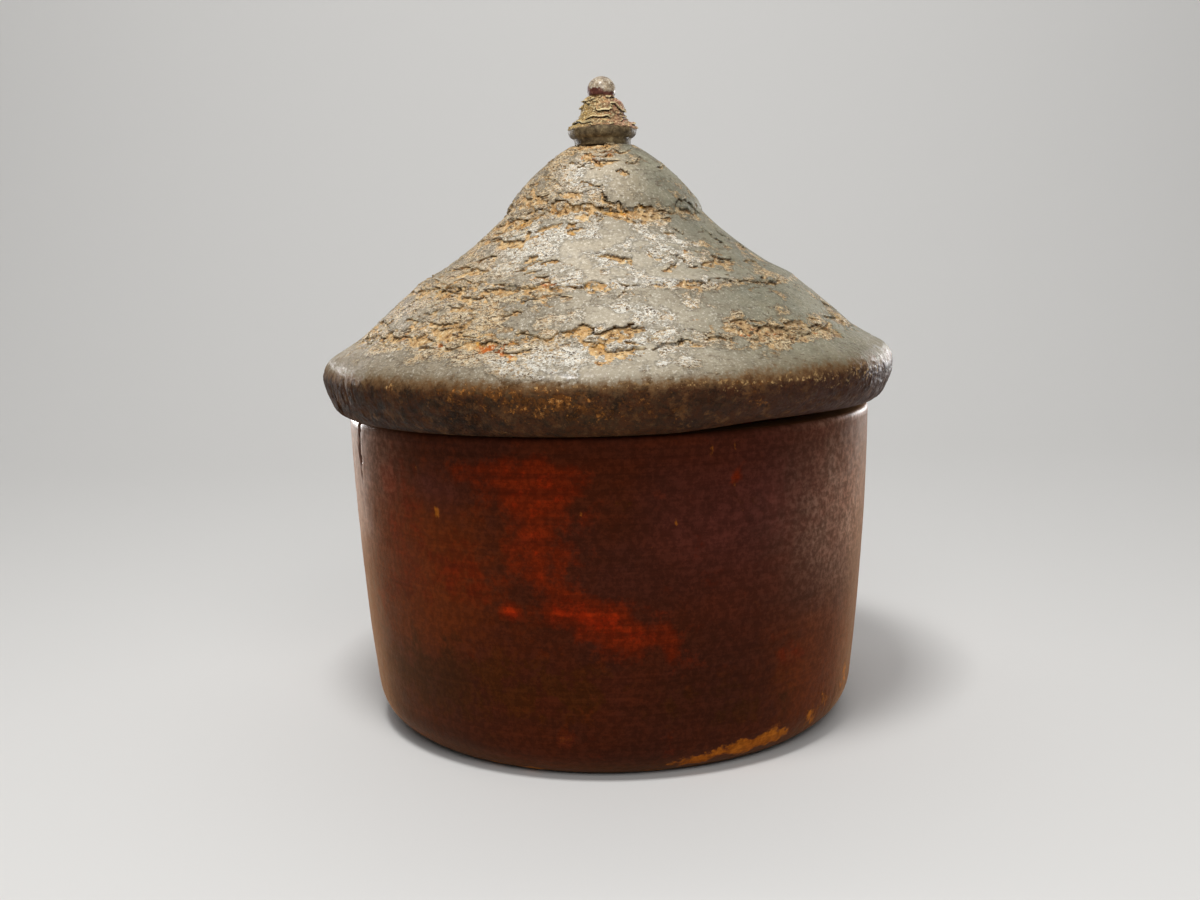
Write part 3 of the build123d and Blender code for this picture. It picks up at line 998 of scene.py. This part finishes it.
# %% Long cracks
long_cracks = [
    (-11, 138, 10, 139, 0.3, 1.2, 0.5), (11, 138.8, 22, 138, 0.2, 2.2, 0.6),
    (-24, 135, -16, 136, 0.3, 1.2, 0.3), (-15, 135.8, 4, 135.4, 0.4, 3.4, 0.7),
    (9, 133, 18, 132.4, 0.3, 2.6, 0.5), (23, 134.2, 42, 135.7, 0.3, 0.9, 0.1),
    (-18, 130, -3, 129, 0.3, 1.0, 0.1), (-3, 127.5, 5, 126, 0.4, 1.8, 0.4),
    (4, 126, 11, 124.6, 0.4, 2.0, 0.3), (-36, 125.6, -20, 125.3, 0.4, 1.8, 0.3),
    (-4, 125, 9, 124.8, 0.4, 3.4, 0.7), (8, 123, 17, 120.6, 0.4, 2.4, 0.3),
    (19, 125, 27, 124.6, 0.4, 2.8, 0.6), (32, 122.5, 46, 124.4, 0.4, 0.8, 0.0),
    (46, 125, 67, 123.4, 0.5, 1.0, 0.1), (-50, 121.5, -42, 122.5, 0.3, 3.2, 0.5),
    (-34, 119.3, -27, 119.5, 0.3, 2.6, 0.5), (-18, 120, -14, 120.2, 0.4, 3.0, 0.7),
    (-31, 114.5, -25, 114.4, 0.4, 3.4, 0.5), (-30, 111, -24, 113, 0.3, 2.0, 0.4),
    (-63, 111, -50, 112.2, 0.3, 2.6, 0.5), (2, 113.6, 9, 113.2, 0.3, 3.8, 0.2),
    (18, 111.2, 24, 111.3, 0.4, 2.4, 0.4), (41, 112.8, 47, 112.3, 0.2, 3.2, 0.2),
    (31, 119, 38, 118, 0.3, 0.9, 0.1), (50, 119, 57, 116.6, 0.4, 1.4, 0.3),
    (62, 118, 68, 116.3, 0.3, 0.9, 0.1), (24, 113.5, 29, 111.4, 0.3, 0.8, 0.0),
    (-60, 107.6, -45, 107.2, 0.5, 2.6, 0.6), (-45, 107.2, -38, 108.2, 0.4, 2.2, 0.5),
    (-30, 107.4, -7, 107.8, 0.6, 2.0, 0.6), (-8, 108, -2, 107.4, 0.5, 3.4, 0.7),
    (21, 107.2, 27, 107.3, 0.5, 4.2, 0.2), (28, 107.2, 35, 107, 0.4, 0.9, 0.1),
    (50, 107.2, 59, 107, 0.4, 2.4, 0.5), (-42, 105.3, -34, 106.3, 0.4, 3.2, 0.5),
    (-43, 99, -34, 99.8, 0.4, 3.8, 0.4), (-54, 98, -49, 100.5, 0.3, 2.4, 0.4),
    (-29, 97, -23, 95.6, 0.5, 3.0, 0.8), (-23, 95, -14, 94.4, 0.5, 2.6, 0.9),
    (-22, 97.4, -10, 98.5, 0.4, 2.0, 0.4), (-10, 98.4, -4, 98.8, 0.5, 4.0, 0.8),
    (-4, 99, 7, 98.4, 0.6, 4.0, 0.3), (-4, 94.8, 8, 94.8, 0.8, 4.4, 0.9),
    (9, 94.6, 17, 95.1, 0.8, 0.9, 0.1), (20, 96, 27, 95.6, 0.5, 1.6, 0.2),
    (28, 98.6, 33, 98.8, 0.5, 4.6, 0.4), (30, 96.4, 43, 96.4, 0.4, 2.4, 0.3),
    (35, 95.6, 53, 95.6, 0.4, 2.6, 0.3), (52, 96.6, 60, 95.0, 0.4, 3.0, 0.3),
    (-27, 102, -20, 102.6, 0.3, 1.2, 0.2),
]
layer_depth, crack_wander = 0.62, 3.6
push_along, push_down = (crack_wander * fractal(points, (3.6, 3.6, 2.6), 4, layer) for layer in (340, 345))
gash = np.zeros_like(z)
for start, start_z, end, end_z, lift, reach, shine in long_cracks:
    first, last = np.interp((-start_z, -end_z), -skin_outline[:, 1], way)
    rows = np.abs(way - (first + last) / 2) < abs(first - last) / 2 + reach + 5
    columns = np.abs((azimuth[0] - (start + end) / 2 + 180) % 360 - 180) < (end - start) / 2 + 4
    patch = np.ix_(rows, columns)
    turn = (azimuth[patch] - start + 180) % 360 - 180
    along = (turn + np.degrees(push_along[patch] / radius[patch])) / (end - start)
    inside = np.clip(along, 0, 1)
    taper = np.sqrt(np.sin(math.pi * inside))
    below = way_down[patch] + push_down[patch] - first - (last - first) * inside
    spread = np.maximum(reach * taper * (0.9 + 1.1 * chips[patch]), 0.25)
    raised[patch] += 0.7 * lift * taper * np.exp(-np.abs(below) / 1.3) * (below < 0)
    under = (below >= 0) * ease(taper, 0.02, 0.3)
    lost[patch] = np.maximum(lost[patch], layer_depth * under * (1 - ease(below / spread, 0.6, 1.0)))
    glow[patch] += shine * under * np.exp(-below / (0.7 * reach))
    gash[patch] = np.maximum(gash[patch], under * (1 - ease(below, 0.15 * lift + 0.08, 0.6 * lift + 0.16)))
print(f"{len(long_cracks)} long cracks")

# %% [markdown]
# Now the parts of the relief are added up, in millimetres: the ledges that the gouge left at the ridge
# and the waist, the uneven skin, the raised edges, the lost layers and the gashes. The same sums say
# where the crust is thin, where the wood is bare and where all has gone to crumbs.

# %% Relief of the crust
ledge = 0.34 * ease(z, ridge[1] - 0.5, ridge[1] + 0.4) * (1 - ease(z, ridge[1] + 0.8, ridge[1] + 4.0))
ledge += 0.1 * ease(z, waist[1] + 0.2, waist[1] + 1.0) * (1 - ease(z, waist[1] + 1.6, waist[1] + 5.0))
deepest_loss, gash_depth = 0.54, 0.2
lost = lost + 0.15 * chips * ease(lost, 0.05, 0.3)
thin = ease(lost, 0.07, 0.2)
bare = ease(lost, 0.26, 0.40)
crumb = 0.38 + damage + fractal(points, (5, 5, 3), 4, 350)
crumb += 0.5 * thin + 0.08 * bell(azimuth, -34, 34)
rough = 0.10 * fractal(points, (7, 7, 4), 3, 140) + 0.03 * fractal(points, (1.3, 1.3, 0.9), 2, 145)
rough += 0.12 * ease(crumb, 0.35, 0.7) * fractal(points, (1.1, 1.1, 0.8), 2, 355)
height = ledge + rough + raised - np.clip(lost, 0, deepest_loss) - gash_depth * gash
height += bare * 0.1 * fractal(points, (2.2, 2.2, 0.9), 2, 150)
print(f"bare wood on {100 * bare.mean():.0f} % of the lid, thin crust on {100 * (thin - bare).mean():.0f} %")

# %% [markdown]
# ## The rim and its warp
# The rolled rim is handled more than the rest, so its crust is worn smooth on top, with fine scratches
# that run down and out, and it is stained dark round the band. The wood has also moved: the rim rides up
# on the right, where a thin dark gap shows above the pot's lip.

# %% Rim relief
on_rim = 1 - ease(z, groove[1] - 1.6, groove[1] - 0.2)
band_field = 1 - ease(z + 0.8 * fractal(points, (6, 6, 3), 3, 160), widest[1] - 1.5, widest[1] + 5.0)
# Over the nose the colour darkens, partly a stain and partly a painted shade where the nose turns away from
# the light. It is least in front and most at the left end.
nose_stain_and_shade_field = (1 - ease(z, widest[1] + 1.0, brim[1] + 3.0)) * (1 - bell(azimuth, 0.0, 26.0) * 0.7)
nose_stain_and_shade_field *= 1 + 0.7 * bell(azimuth, -84.0, 22.0)
unrolled = np.stack([points[..., 0] / radius * lip_r, points[..., 1] / radius * lip_r, way_down / 5], axis=-1)
streaks = fractal(unrolled, 1.3, 3, 164)
leather_gap = plates(ragged(points, 1.2, 0.5, 165), (1.6, 1.6, 1.3), 4)
leather = bell(azimuth, 55.0, 28.0) * (1 - ease(z, brim[1] + 0.3, groove[1] - 0.2)) + 0.3
ends = 0.15 + bell(azimuth, -80.0, 22.0) + 0.7 * bell(azimuth, 80.0, 16.0)
upright = ease(streaks, 0.25, 0.5) * ends * (1 - ease(z, widest[1] - 0.7, widest[1] + 2.3))
handled_skin = 0.02 + 0.14 * fractal(points, (9, 9, 5), 3, 180) + 0.14 * leather * (leather_gap - 0.4)
worn_band = band_field * ease(fractal(points, (5, 5, 2.5), 3, 190), 0.1, 0.3)
rim_height = handled_skin + 0.07 * streaks * ends - 0.3 * upright + 0.08 * chips - 0.16 * worn_band
height = height * (1 - on_rim) + on_rim * (rim_height + 0.5 * raised - 0.6 * np.clip(lost, 0, 0.5))
height *= ease(z, lip_z + 0.1, lip_z + 1.6)
print(f"relief from {height.min():.2f} to {height.max():.2f} mm")

# %% [markdown]
# The warp is the last thing that happened to the wood, so it moves the finished surface. It must not
# push the lid into the pot, so whatever bears on the lip stays on it. Before that, the skin is sheared
# down the outline where it stands high, so that a raised edge overhangs the crack below it.

# %% The warp
rim_tilt = 0.0075
gap_height = 1.3
clearance = 0.02
spigot_clearance = 0.7
spigot_r = mouth_r - spigot_clearance


def dried(surface, rest, azimuth):
    """Moves a surface as the wood has moved in drying: a tilt to the right that grows from the waist to
    the lip, and a lift of the lower corner that is highest 34 degrees right of the front. What bears
    on the pot's lip stays on it. rest are the same points before their relief."""
    radius, z = np.hypot(rest[..., 0], rest[..., 1]), rest[..., 2]
    around = ease(azimuth, 8.0, 32.0) * (1 - ease(azimuth, 36.0, 88.0))
    corner = (1 - ease(z, lip_z + 1.0, lip_z + 8.0)) * ease(radius, spigot_r, spigot_r + 1.5)
    moved = surface.copy()
    moved[..., 2] += rim_tilt * rest[..., 0] * ease(radius, waist[0], lip_r) + gap_height * around * corner
    bears = (z < lip_z + 1.0) & (radius > spigot_r - 0.1) & (radius < lip_r + 0.3) & (z > lip_z - 0.5)
    moved[..., 2] = np.where(bears, np.maximum(moved[..., 2], lip_z + clearance), moved[..., 2])
    return moved


shear = 0.7 * (1 - on_rim)
sheared = down * (shear * (height - 0.3))[..., None]
surface = dried(points + out * height[..., None] + sheared, points, azimuth)
print(f"the warp lifts the rim by up to {(dried(points, points, azimuth) - points)[..., 2].max():.2f} mm")

# %% [markdown]
# What the mesh tells the material is worked out last. How far a point stands over the rows next to it gives
# the shadow sides and the proud edges, which the material paints dark as shade and pale as highlights. Lists
# of soft ovals, as on the pot, say where the real lid is glossy, rusty, crumbled or stained orange, and where
# glints are painted as highlights, on the skin and along the band's edge.

# %% Shadow sides and proud edges
def steps(height, reach):
    """How far the surface a few rows up stands over each point, and each point over the rows below."""
    near = range(1, reach + 1)
    over = np.max([np.roll(height, k, axis=0) for k in near], axis=0) - height
    under = height - np.min([np.roll(height, -k, axis=0) for k in near], axis=0)
    over[:reach], under[-reach:] = 0, 0
    return over, under


over, under = steps(height, 1)
open_here = 0.3 + 0.7 * ease(fractal(points, (2.4, 2.4, 1.6), 3, 360), -0.2, 0.12)
shadow_side = np.maximum(ease(over, 0.2, 0.5), gash * (1 - 0.6 * on_rim)) * open_here
proud_edge_highlight = ease(under, 0.16, 0.42) * (1 - shadow_side) * ease(chips, -0.3, 0.2)

# %% Masks for the colours
plain = 1 - ease(band_field, 0.3, 0.8)
gloss_places = [
    (14, 89.8, 4.5, 0.9, 1.0), (-8, 90.4, 9, 1.1, 0.7), (66, 90.5, 5, 1.6, 0.5), (-14, 132, 4, 3, 0.6),
    (8, 107.9, 14, 0.6, 0.8), (-12, 114, 7, 4, 0.5), (150, 90, 20, 1.5, 0.7), (-110, 90, 20, 1.5, 0.6),
]
rust_places = [
    (-12, 84.5, 27, 5, 0.75), (-24, 87.5, 9, 1.6, 0.6), (12, 82, 2.0, 1.6, 0.8), (26, 82, 5, 1.5, 0.5),
    (28, 87.5, 12, 1.4, 0.7), (-42, 87.4, 1.6, 1.0, 1.0), (150, 84, 30, 4, 0.5), (-130, 84, 20, 4, 0.5),
]
painted_glints_places = [
    (-4, 92, 20, 3.2, 1.2), (10, 107.8, 20, 0.9, 1.1), (6, 100, 16, 6, 1.0), (-10, 116, 16, 6, 1.0),
    (4, 112, 14, 4, 0.8), (-8, 132, 9, 5, 1.0), (-50, 100, 22, 12, 0.3), (-38, 118, 12, 8, 0.35),
    (70, 90, 9, 4, 0.5), (26, 114, 8, 6, 0.6),
]
# where glints along the band's upper edge are painted as highlights
painted_band_glint_places = [
    (0, 88.8, 32, 1.6, 0.8), (26, 87.5, 12, 1.6, 0.8), (50, 86.5, 16, 2.4, 0.7),
    (-42, 87.4, 1.8, 1.0, 0.9), (-10, 84.0, 14, 2.0, 0.3), (180, 88, 40, 1.5, 0.6),
    (-110, 88, 25, 1.5, 0.5), (110, 88, 25, 2, 0.6),
]
crumb_places = [
    (-20, 92.5, 24, 2.6, 0.65), (-38, 93.5, 7, 2, 0.4), (12, 91.5, 12, 2, 0.5), (40, 93.5, 16, 2.0, 0.45),
    (-62, 94, 8, 1.6, 0.3), (150, 92, 30, 2.5, 0.4), (-130, 92, 20, 2.5, 0.4),
]
ember_places = [
    (-8, 136, 5, 1.5, 0.3), (31, 97, 8, 2, 0.3), (-24, 95, 6, 1.2, 0.7), (12, 138, 3, 1, 0.4),
    (-16, 108, 5, 1, 0.4), (-42, 87.4, 1.6, 1.0, 0.6),
]
polish = np.clip(0.1 + places(points, azimuth, painted_glints_places), 0, 1)
ember = 0.1 + 0.4 * fractal(points, (6, 6, 3), 3, 200) + places(points, azimuth, ember_places)
skin_fields = {
    "bare": bare * plain, "thin": thin * (1 - bare) * plain, "glow": glow, "ember": ember,
    "dark": shadow_side, "edge": proud_edge_highlight * plain, "band": band_field, "nose": nose_stain_and_shade_field,
    "gloss": places(points, azimuth, gloss_places),
    "rust": places(points, azimuth, rust_places) + 0.3 * fractal(points, (7, 7, 4), 3, 205),
    "polish": polish, "crumb": crumb + 0.18 * polish + places(points, azimuth, crumb_places),
    "spark": places(points, azimuth, painted_band_glint_places) + 0.15 * chips,
    "warm": 0.8 * ease(azimuth, -14.0, -66.0) * ease(azimuth, -170.0, -120.0),
    "cool": ease(azimuth, -2.0, 44.0) * (1 - ease(azimuth, 120.0, 170.0)),
}
print(f"{len(skin_fields)} masks for the crust")

# %% [markdown]
# ## Crust shells
# The crust is made as four closed shells, one for each turned form of the lid, because one mesh this
# fine would be too heavy to handle. Each has the fine skin outside and a few coarse rows inside, sunk
# in the wood. They meet at the groove, the ridge and the waist, where the real crust is cracked too.

# %% Four shells
shell_depth = 1.5
inner_stride = 12
tuck_near, tuck_far = 0.01, 0.3
sunk = dried(points - shell_depth * out, points, azimuth)


def crust_shell(name, first, last):
    """A closed ring: the skin's rows from first to last, then back along every twelfth row, that deep
    in the wood. It goes on for two rows under each neighbour, so that no edge shows where they meet."""
    tuck = np.zeros(len(skin_outline))
    tuck[:first] = tuck[last + 1:] = tuck_far
    tuck[first - 1:first] = tuck[last + 1:last + 2] = tuck_near
    rows = slice(max(first - 2, 0), min(last + 3, len(tuck)))
    grid = (surface - out * tuck[:, None, None])[rows]
    grid = np.concatenate([grid, sunk[rows][::-inner_stride]])
    fields = {key: np.concatenate([values[rows], values[rows][::-inner_stride]])
              for key, values in skin_fields.items()}
    shell = build(name, grid, fields, ring=True)
    shell.data.materials.append(crust)
    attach(shell, "lid")


cuts = [0, row_at(waist), row_at(ridge), row_at(groove), len(skin_outline) - 1]
for name, first, last in zip(("crown_crust", "flute_crust", "skirt_crust", "rim_crust"), cuts, cuts[1:]):
    crust_shell(name, first, last)
print(f"four shells, cut at rows {cuts[1:-1]}")

# %% [markdown]
# ## The lid's wood
# Under the crust is the wood itself, and it shows when the lid is lifted: a spigot that drops into the
# pot's mouth, a straight bore and a dome. Powder has stained it red inside. Its outline is the crust's,
# set in by a millimetre, and it closes through the socket that takes the knob's peg.

# %% Stained wood
stained, tree, shader, own = new_material("stained_wood")
cloud = use(tree, patches, own, scale=45.0, detail=5.0, low=0.35, high=0.65)
mottle = use(tree, patches, own, scale=260.0, detail=6.0, roughness=0.7, low=0.35, high=0.7)
rings = use(tree, turning_lines, own, pitch=1100.0, drift=20.0)
connect(tree, shader["Base Color"], coats(tree, blend(tree, cloud, (112, 70, 46), (86, 50, 34)), [
    (broken(tree, "powder", mottle, 0.9), 0.8, (150, 44, 26)),
    (rings, 0.4, (50, 30, 22)),
]))
connect(tree, shader["Roughness"], between(tree, mottle, 0.55, 0.8))
wave = relief(tree, rings, 0.08, 0.7)
grain = use(tree, grit, own, size=700.0, coarse=1.0)
connect(tree, shader["Normal"], relief(tree, grain, 0.06, 0.6, wave))
print(f"{stained.name}: {len(tree.nodes)} nodes")

# %% Lid body
spigot_width, spigot_round, bore_z = 5.6, 1.2, lip_z + 13.0
bore_r = spigot_r - spigot_width
dome_z, dome_bulge = seat_z - 23.0, -6.4
socket_r, socket_z = 3.15, seat_z - 9.5
spigot_bulge = 0.35
skin_inset = 1.0
bearing_z = lip_z + 0.05

core = skin_outline[6:-14:6]
lean = np.gradient(core, axis=0)
lean /= np.linalg.norm(lean, axis=-1, keepdims=True)
core = core + skin_inset * np.stack([lean[:, 1], -lean[:, 0]], axis=-1)
socket = chain((0, socket_z), [
    ((socket_r, socket_z), 0, 1.0),
    ((socket_r, seat_z), 0, 1.5),
    ((neck_cover_r, seat_z), 0, 1.2),
])
underside = chain((lip_r - 1.2, bearing_z), [
    ((spigot_r, bearing_z), 0, 1.2),
    ((spigot_r, spigot_z + spigot_round), 0, 1.0),
    ((spigot_r - spigot_round, spigot_z), spigot_bulge, 0.5),
    ((bore_r + spigot_round, spigot_z), 0, 1.0),
    ((bore_r, spigot_z + spigot_round), spigot_bulge, 0.5),
    ((bore_r, bore_z), 0, 1.5),
    ((0, dome_z), dome_bulge, 1.5),
])
body_outline = np.concatenate([socket[:-1], core, underside])
points, out, down, azimuth = turned(body_outline, 300)
radius, z = np.hypot(points[..., 0], points[..., 1]), points[..., 2]
inside = (out[..., 2] < 0.3) & (radius < spigot_r + 0.5) & (z < dome_z + 1)
body_relief = 0.06 * fractal(points, 12, 3, 70) * inside * ease(radius, 4.0, 8.0)
body = dried(points + out * body_relief[..., None], points, azimuth)
powder_field = inside * (0.45 + 0.5 * fractal(points, 10, 3, 75) + 0.4 * ease(z, lip_z + 3.0, lip_z + 33.0))
lid = build("lid_body", body, {"powder": powder_field})
lid.data.materials.append(stained)
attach(lid, "lid")
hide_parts("lid")

# %% [markdown]
# ## The knob
# The finial is turned apart and glued in by its peg. Fingers keep its ball clean and glossy. Below it
# the crust lies in ragged, wavy layers round the bell and over the rolled flange, and the underside of
# the flange is dark and smooth. The wood is set in under the crust, so that the crust's outside has the
# knob's real size.

# %% Knob outline
neck_r, neck_z = 6.9, seat_z + 0.9
flange_top, flange_edge, flange_under = (7.2, seat_z + 5.3), (8.4, seat_z + 3.4), (7.1, seat_z + 1.6)
bell_foot, bell_top = (5.6, seat_z + 7.6), (3.15, seat_z + 11.7)
ball_r = 3.45
ball_z = knob_top_z - ball_r
peg_r, peg_low, peg_chamfer = 3.1, knob_low.z / MM, 0.6
knob_step = 0.13

polar = np.linspace(0, math.pi - math.asin(bell_top[0] / ball_r), 50)[:-1]
ball = np.stack([ball_r * np.sin(polar), ball_z + ball_r * np.cos(polar)], axis=-1)
knob_outline = np.concatenate([ball, chain(bell_top, [
    (bell_foot, 0.55, knob_step),
    (flange_top, -0.12, knob_step),
    (flange_edge, 0.32, knob_step),
    (flange_under, 0.36, knob_step),
    ((neck_r, neck_z), 0, knob_step),
    ((neck_r, seat_z), 0, knob_step),
    ((peg_r, seat_z), 0, 0.8),
    ((peg_r, peg_low + peg_chamfer), 0, 1.5),
    ((peg_r - peg_chamfer, peg_low), 0, 0.6),
    ((0, peg_low), 0, 1.0),
])])
points, out, down, azimuth = turned(knob_outline, 360)
z = points[..., 2]
knob_way = np.concatenate([[0.0], np.cumsum(np.hypot(*np.diff(knob_outline, axis=0).T))])[:, None]
print(f"knob outline: {len(knob_outline)} rows")

# %% [markdown]
# The knob's crust is made like the lid's, with wavy lines at two sizes that open by their own noise, but
# here its layers only rise above the lines. They begin on the flange, at a line that dips to both
# sides, and end under the ball.

# %% Knob relief
crust_end = seat_z + 4.3 - 0.5 * np.sin(np.radians(azimuth)) ** 2 + 0.6 * fractal(points, 2.4, 3, 234)
crusted = ease(z, crust_end - 0.2, crust_end + 0.25) * (1 - ease(z, bell_top[1] - 0.3, bell_top[1] + 0.4))
layers_deep = 0.0
for period, lift, need, layer in ((2.5, 0.6, -0.3, 400), (1.1, 0.3, -0.1, 410)):
    drift = 2.0 * noise(points, (4.0, 4.0, 3), layer) + 1.1 * noise(points, (1.7, 1.7, 1.2), layer + 1)
    drift += 0.3 * noise(points, (0.7, 0.7, 0.5), layer + 2)
    place = (knob_way + drift) / period
    line = np.floor(place)
    along = np.stack([points[..., 0], points[..., 1], 9.7 * (line + 1)], axis=-1)
    open_next = ease(noise(along, (3.0, 3.0, 1.7), layer + 3), need, need + 0.3)
    layers_deep = layers_deep + lift * open_next * ease(place - line, 0.25, 1.0)
height = crusted * (layers_deep - 0.36 + 0.3 * fractal(points, 1.8, 4, 220))
height += 0.04 * fractal(points, (1.5, 1.5, 4), 3, 225)
height *= ease(z, seat_z + 0.2, seat_z + 0.9) * ease(np.hypot(points[..., 0], points[..., 1]), 0.1, 1.5)
surface = points + out * height[..., None] + down * (0.5 * crusted * (height + 0.1))[..., None]
over, under = steps(height, 3)
print(f"knob relief from {height.min():.2f} to {height.max():.2f} mm")

# The proud edges of the layers get a painted highlight, and the rows under a raised layer a painted shade.
knob_edge_highlight = ease(under, 0.14, 0.4) * (1 - ease(over, 0.1, 0.2)) * crusted
tilted = z + 0.25 * points[..., 0] + 0.5 * fractal(points, (3, 3, 2), 3, 232)
knob_fields = {
    "crusted": crusted, "dark": ease(over, 0.14, 0.36) * crusted, "edge": knob_edge_highlight,
    "top": ease(tilted, ball_z - 1.0, ball_z + 0.9),
    "below": (1 - crusted) * (1 - ease(z, seat_z + 6.0, seat_z + 8.0)),
    "warm": 0.5 - 0.5 * np.sin(np.radians(azimuth)) + 0.2 * fractal(points, 3, 2, 230),
}

# %% [markdown]
# The ball is pale and glossy on top, where a finger rests, and plum-brown below. The crust under it goes from
# yellow on the left to pink on the right. Its cracks and the shadow sides of its flakes are painted dark as
# shade, as on the lid, and the proud edges of its layers pale as highlights.

# %% Knob finish
handled, tree, shader, own = new_material("handled_wood")
mottle = use(tree, patches, own, scale=650.0, detail=5.0, roughness=0.7, low=0.36, high=0.66)
specks = use(tree, patches, own, scale=2200.0, detail=3.0, roughness=0.65, low=0.5, high=0.68)
flaked = use(tree, flakes, own, scale=900.0, step=0.0004, worn=0.03)
ball_top = coats(tree, blend(tree, mottle, (184, 166, 140), (112, 92, 72)), [(specks, 0.7, (240, 232, 212))])
crust_colour = coats(tree, blend(tree, "warm", (172, 118, 98), (190, 156, 92)), [
    (mottle, 0.8, (66, 50, 30)),
    (flaked["Lost"], 0.7, (222, 192, 132)),
    (specks, 0.7, (250, 234, 184)),
    (flaked["Shade"], 0.8, (48, 30, 18)),
])
connect(tree, shader["Base Color"], coats(tree, blend(tree, mottle, (78, 42, 34), (112, 66, 54)), [
    (broken(tree, "top", mottle, 0.6), 1.0, ball_top),
    ("crusted", 1.0, crust_colour),
    ("below", 1.0, blend(tree, mottle, (74, 60, 40), (128, 110, 80))),
    # painted highlight on the proud edges, then painted shade under them
    (broken(tree, "edge", mottle, 0.9), 0.6, (246, 228, 176)),
    ("dark", 0.94, (32, 16, 12)),
]))
smooth_ball = between(tree, "top", 0, 0.22)
connect(tree, shader["Roughness"], maths(tree, "SUBTRACT", between(tree, mottle, 0.46, 0.62), smooth_ball))
pits = relief(tree, maths(tree, "SUBTRACT", 1.0, flaked["Lost"]), 0.12, 0.8)
grain = use(tree, grit, own, size=1800.0, coarse=1.2)
connect(tree, shader["Normal"], relief(tree, grain, 0.08, 0.7, pits))
connect(tree, shader["Coat Weight"], between(tree, "top", 0, 0.4))
shader["Coat Roughness"].default_value = 0.2
shader["Specular IOR Level"].default_value = 0.2
print(f"{handled.name}: {len(tree.nodes)} nodes")

# %% Knob
knob = build("knob_finial", surface, knob_fields)
knob.data.materials.append(handled)
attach(knob, "lid")
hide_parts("knob")

# %% Sizes
dressed_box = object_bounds()
for name, box in (("solids", cad_box), ("dressed", dressed_box)):
    print(name, [f"{side / MM:.2f}" for side in box[1] - box[0]], "mm")
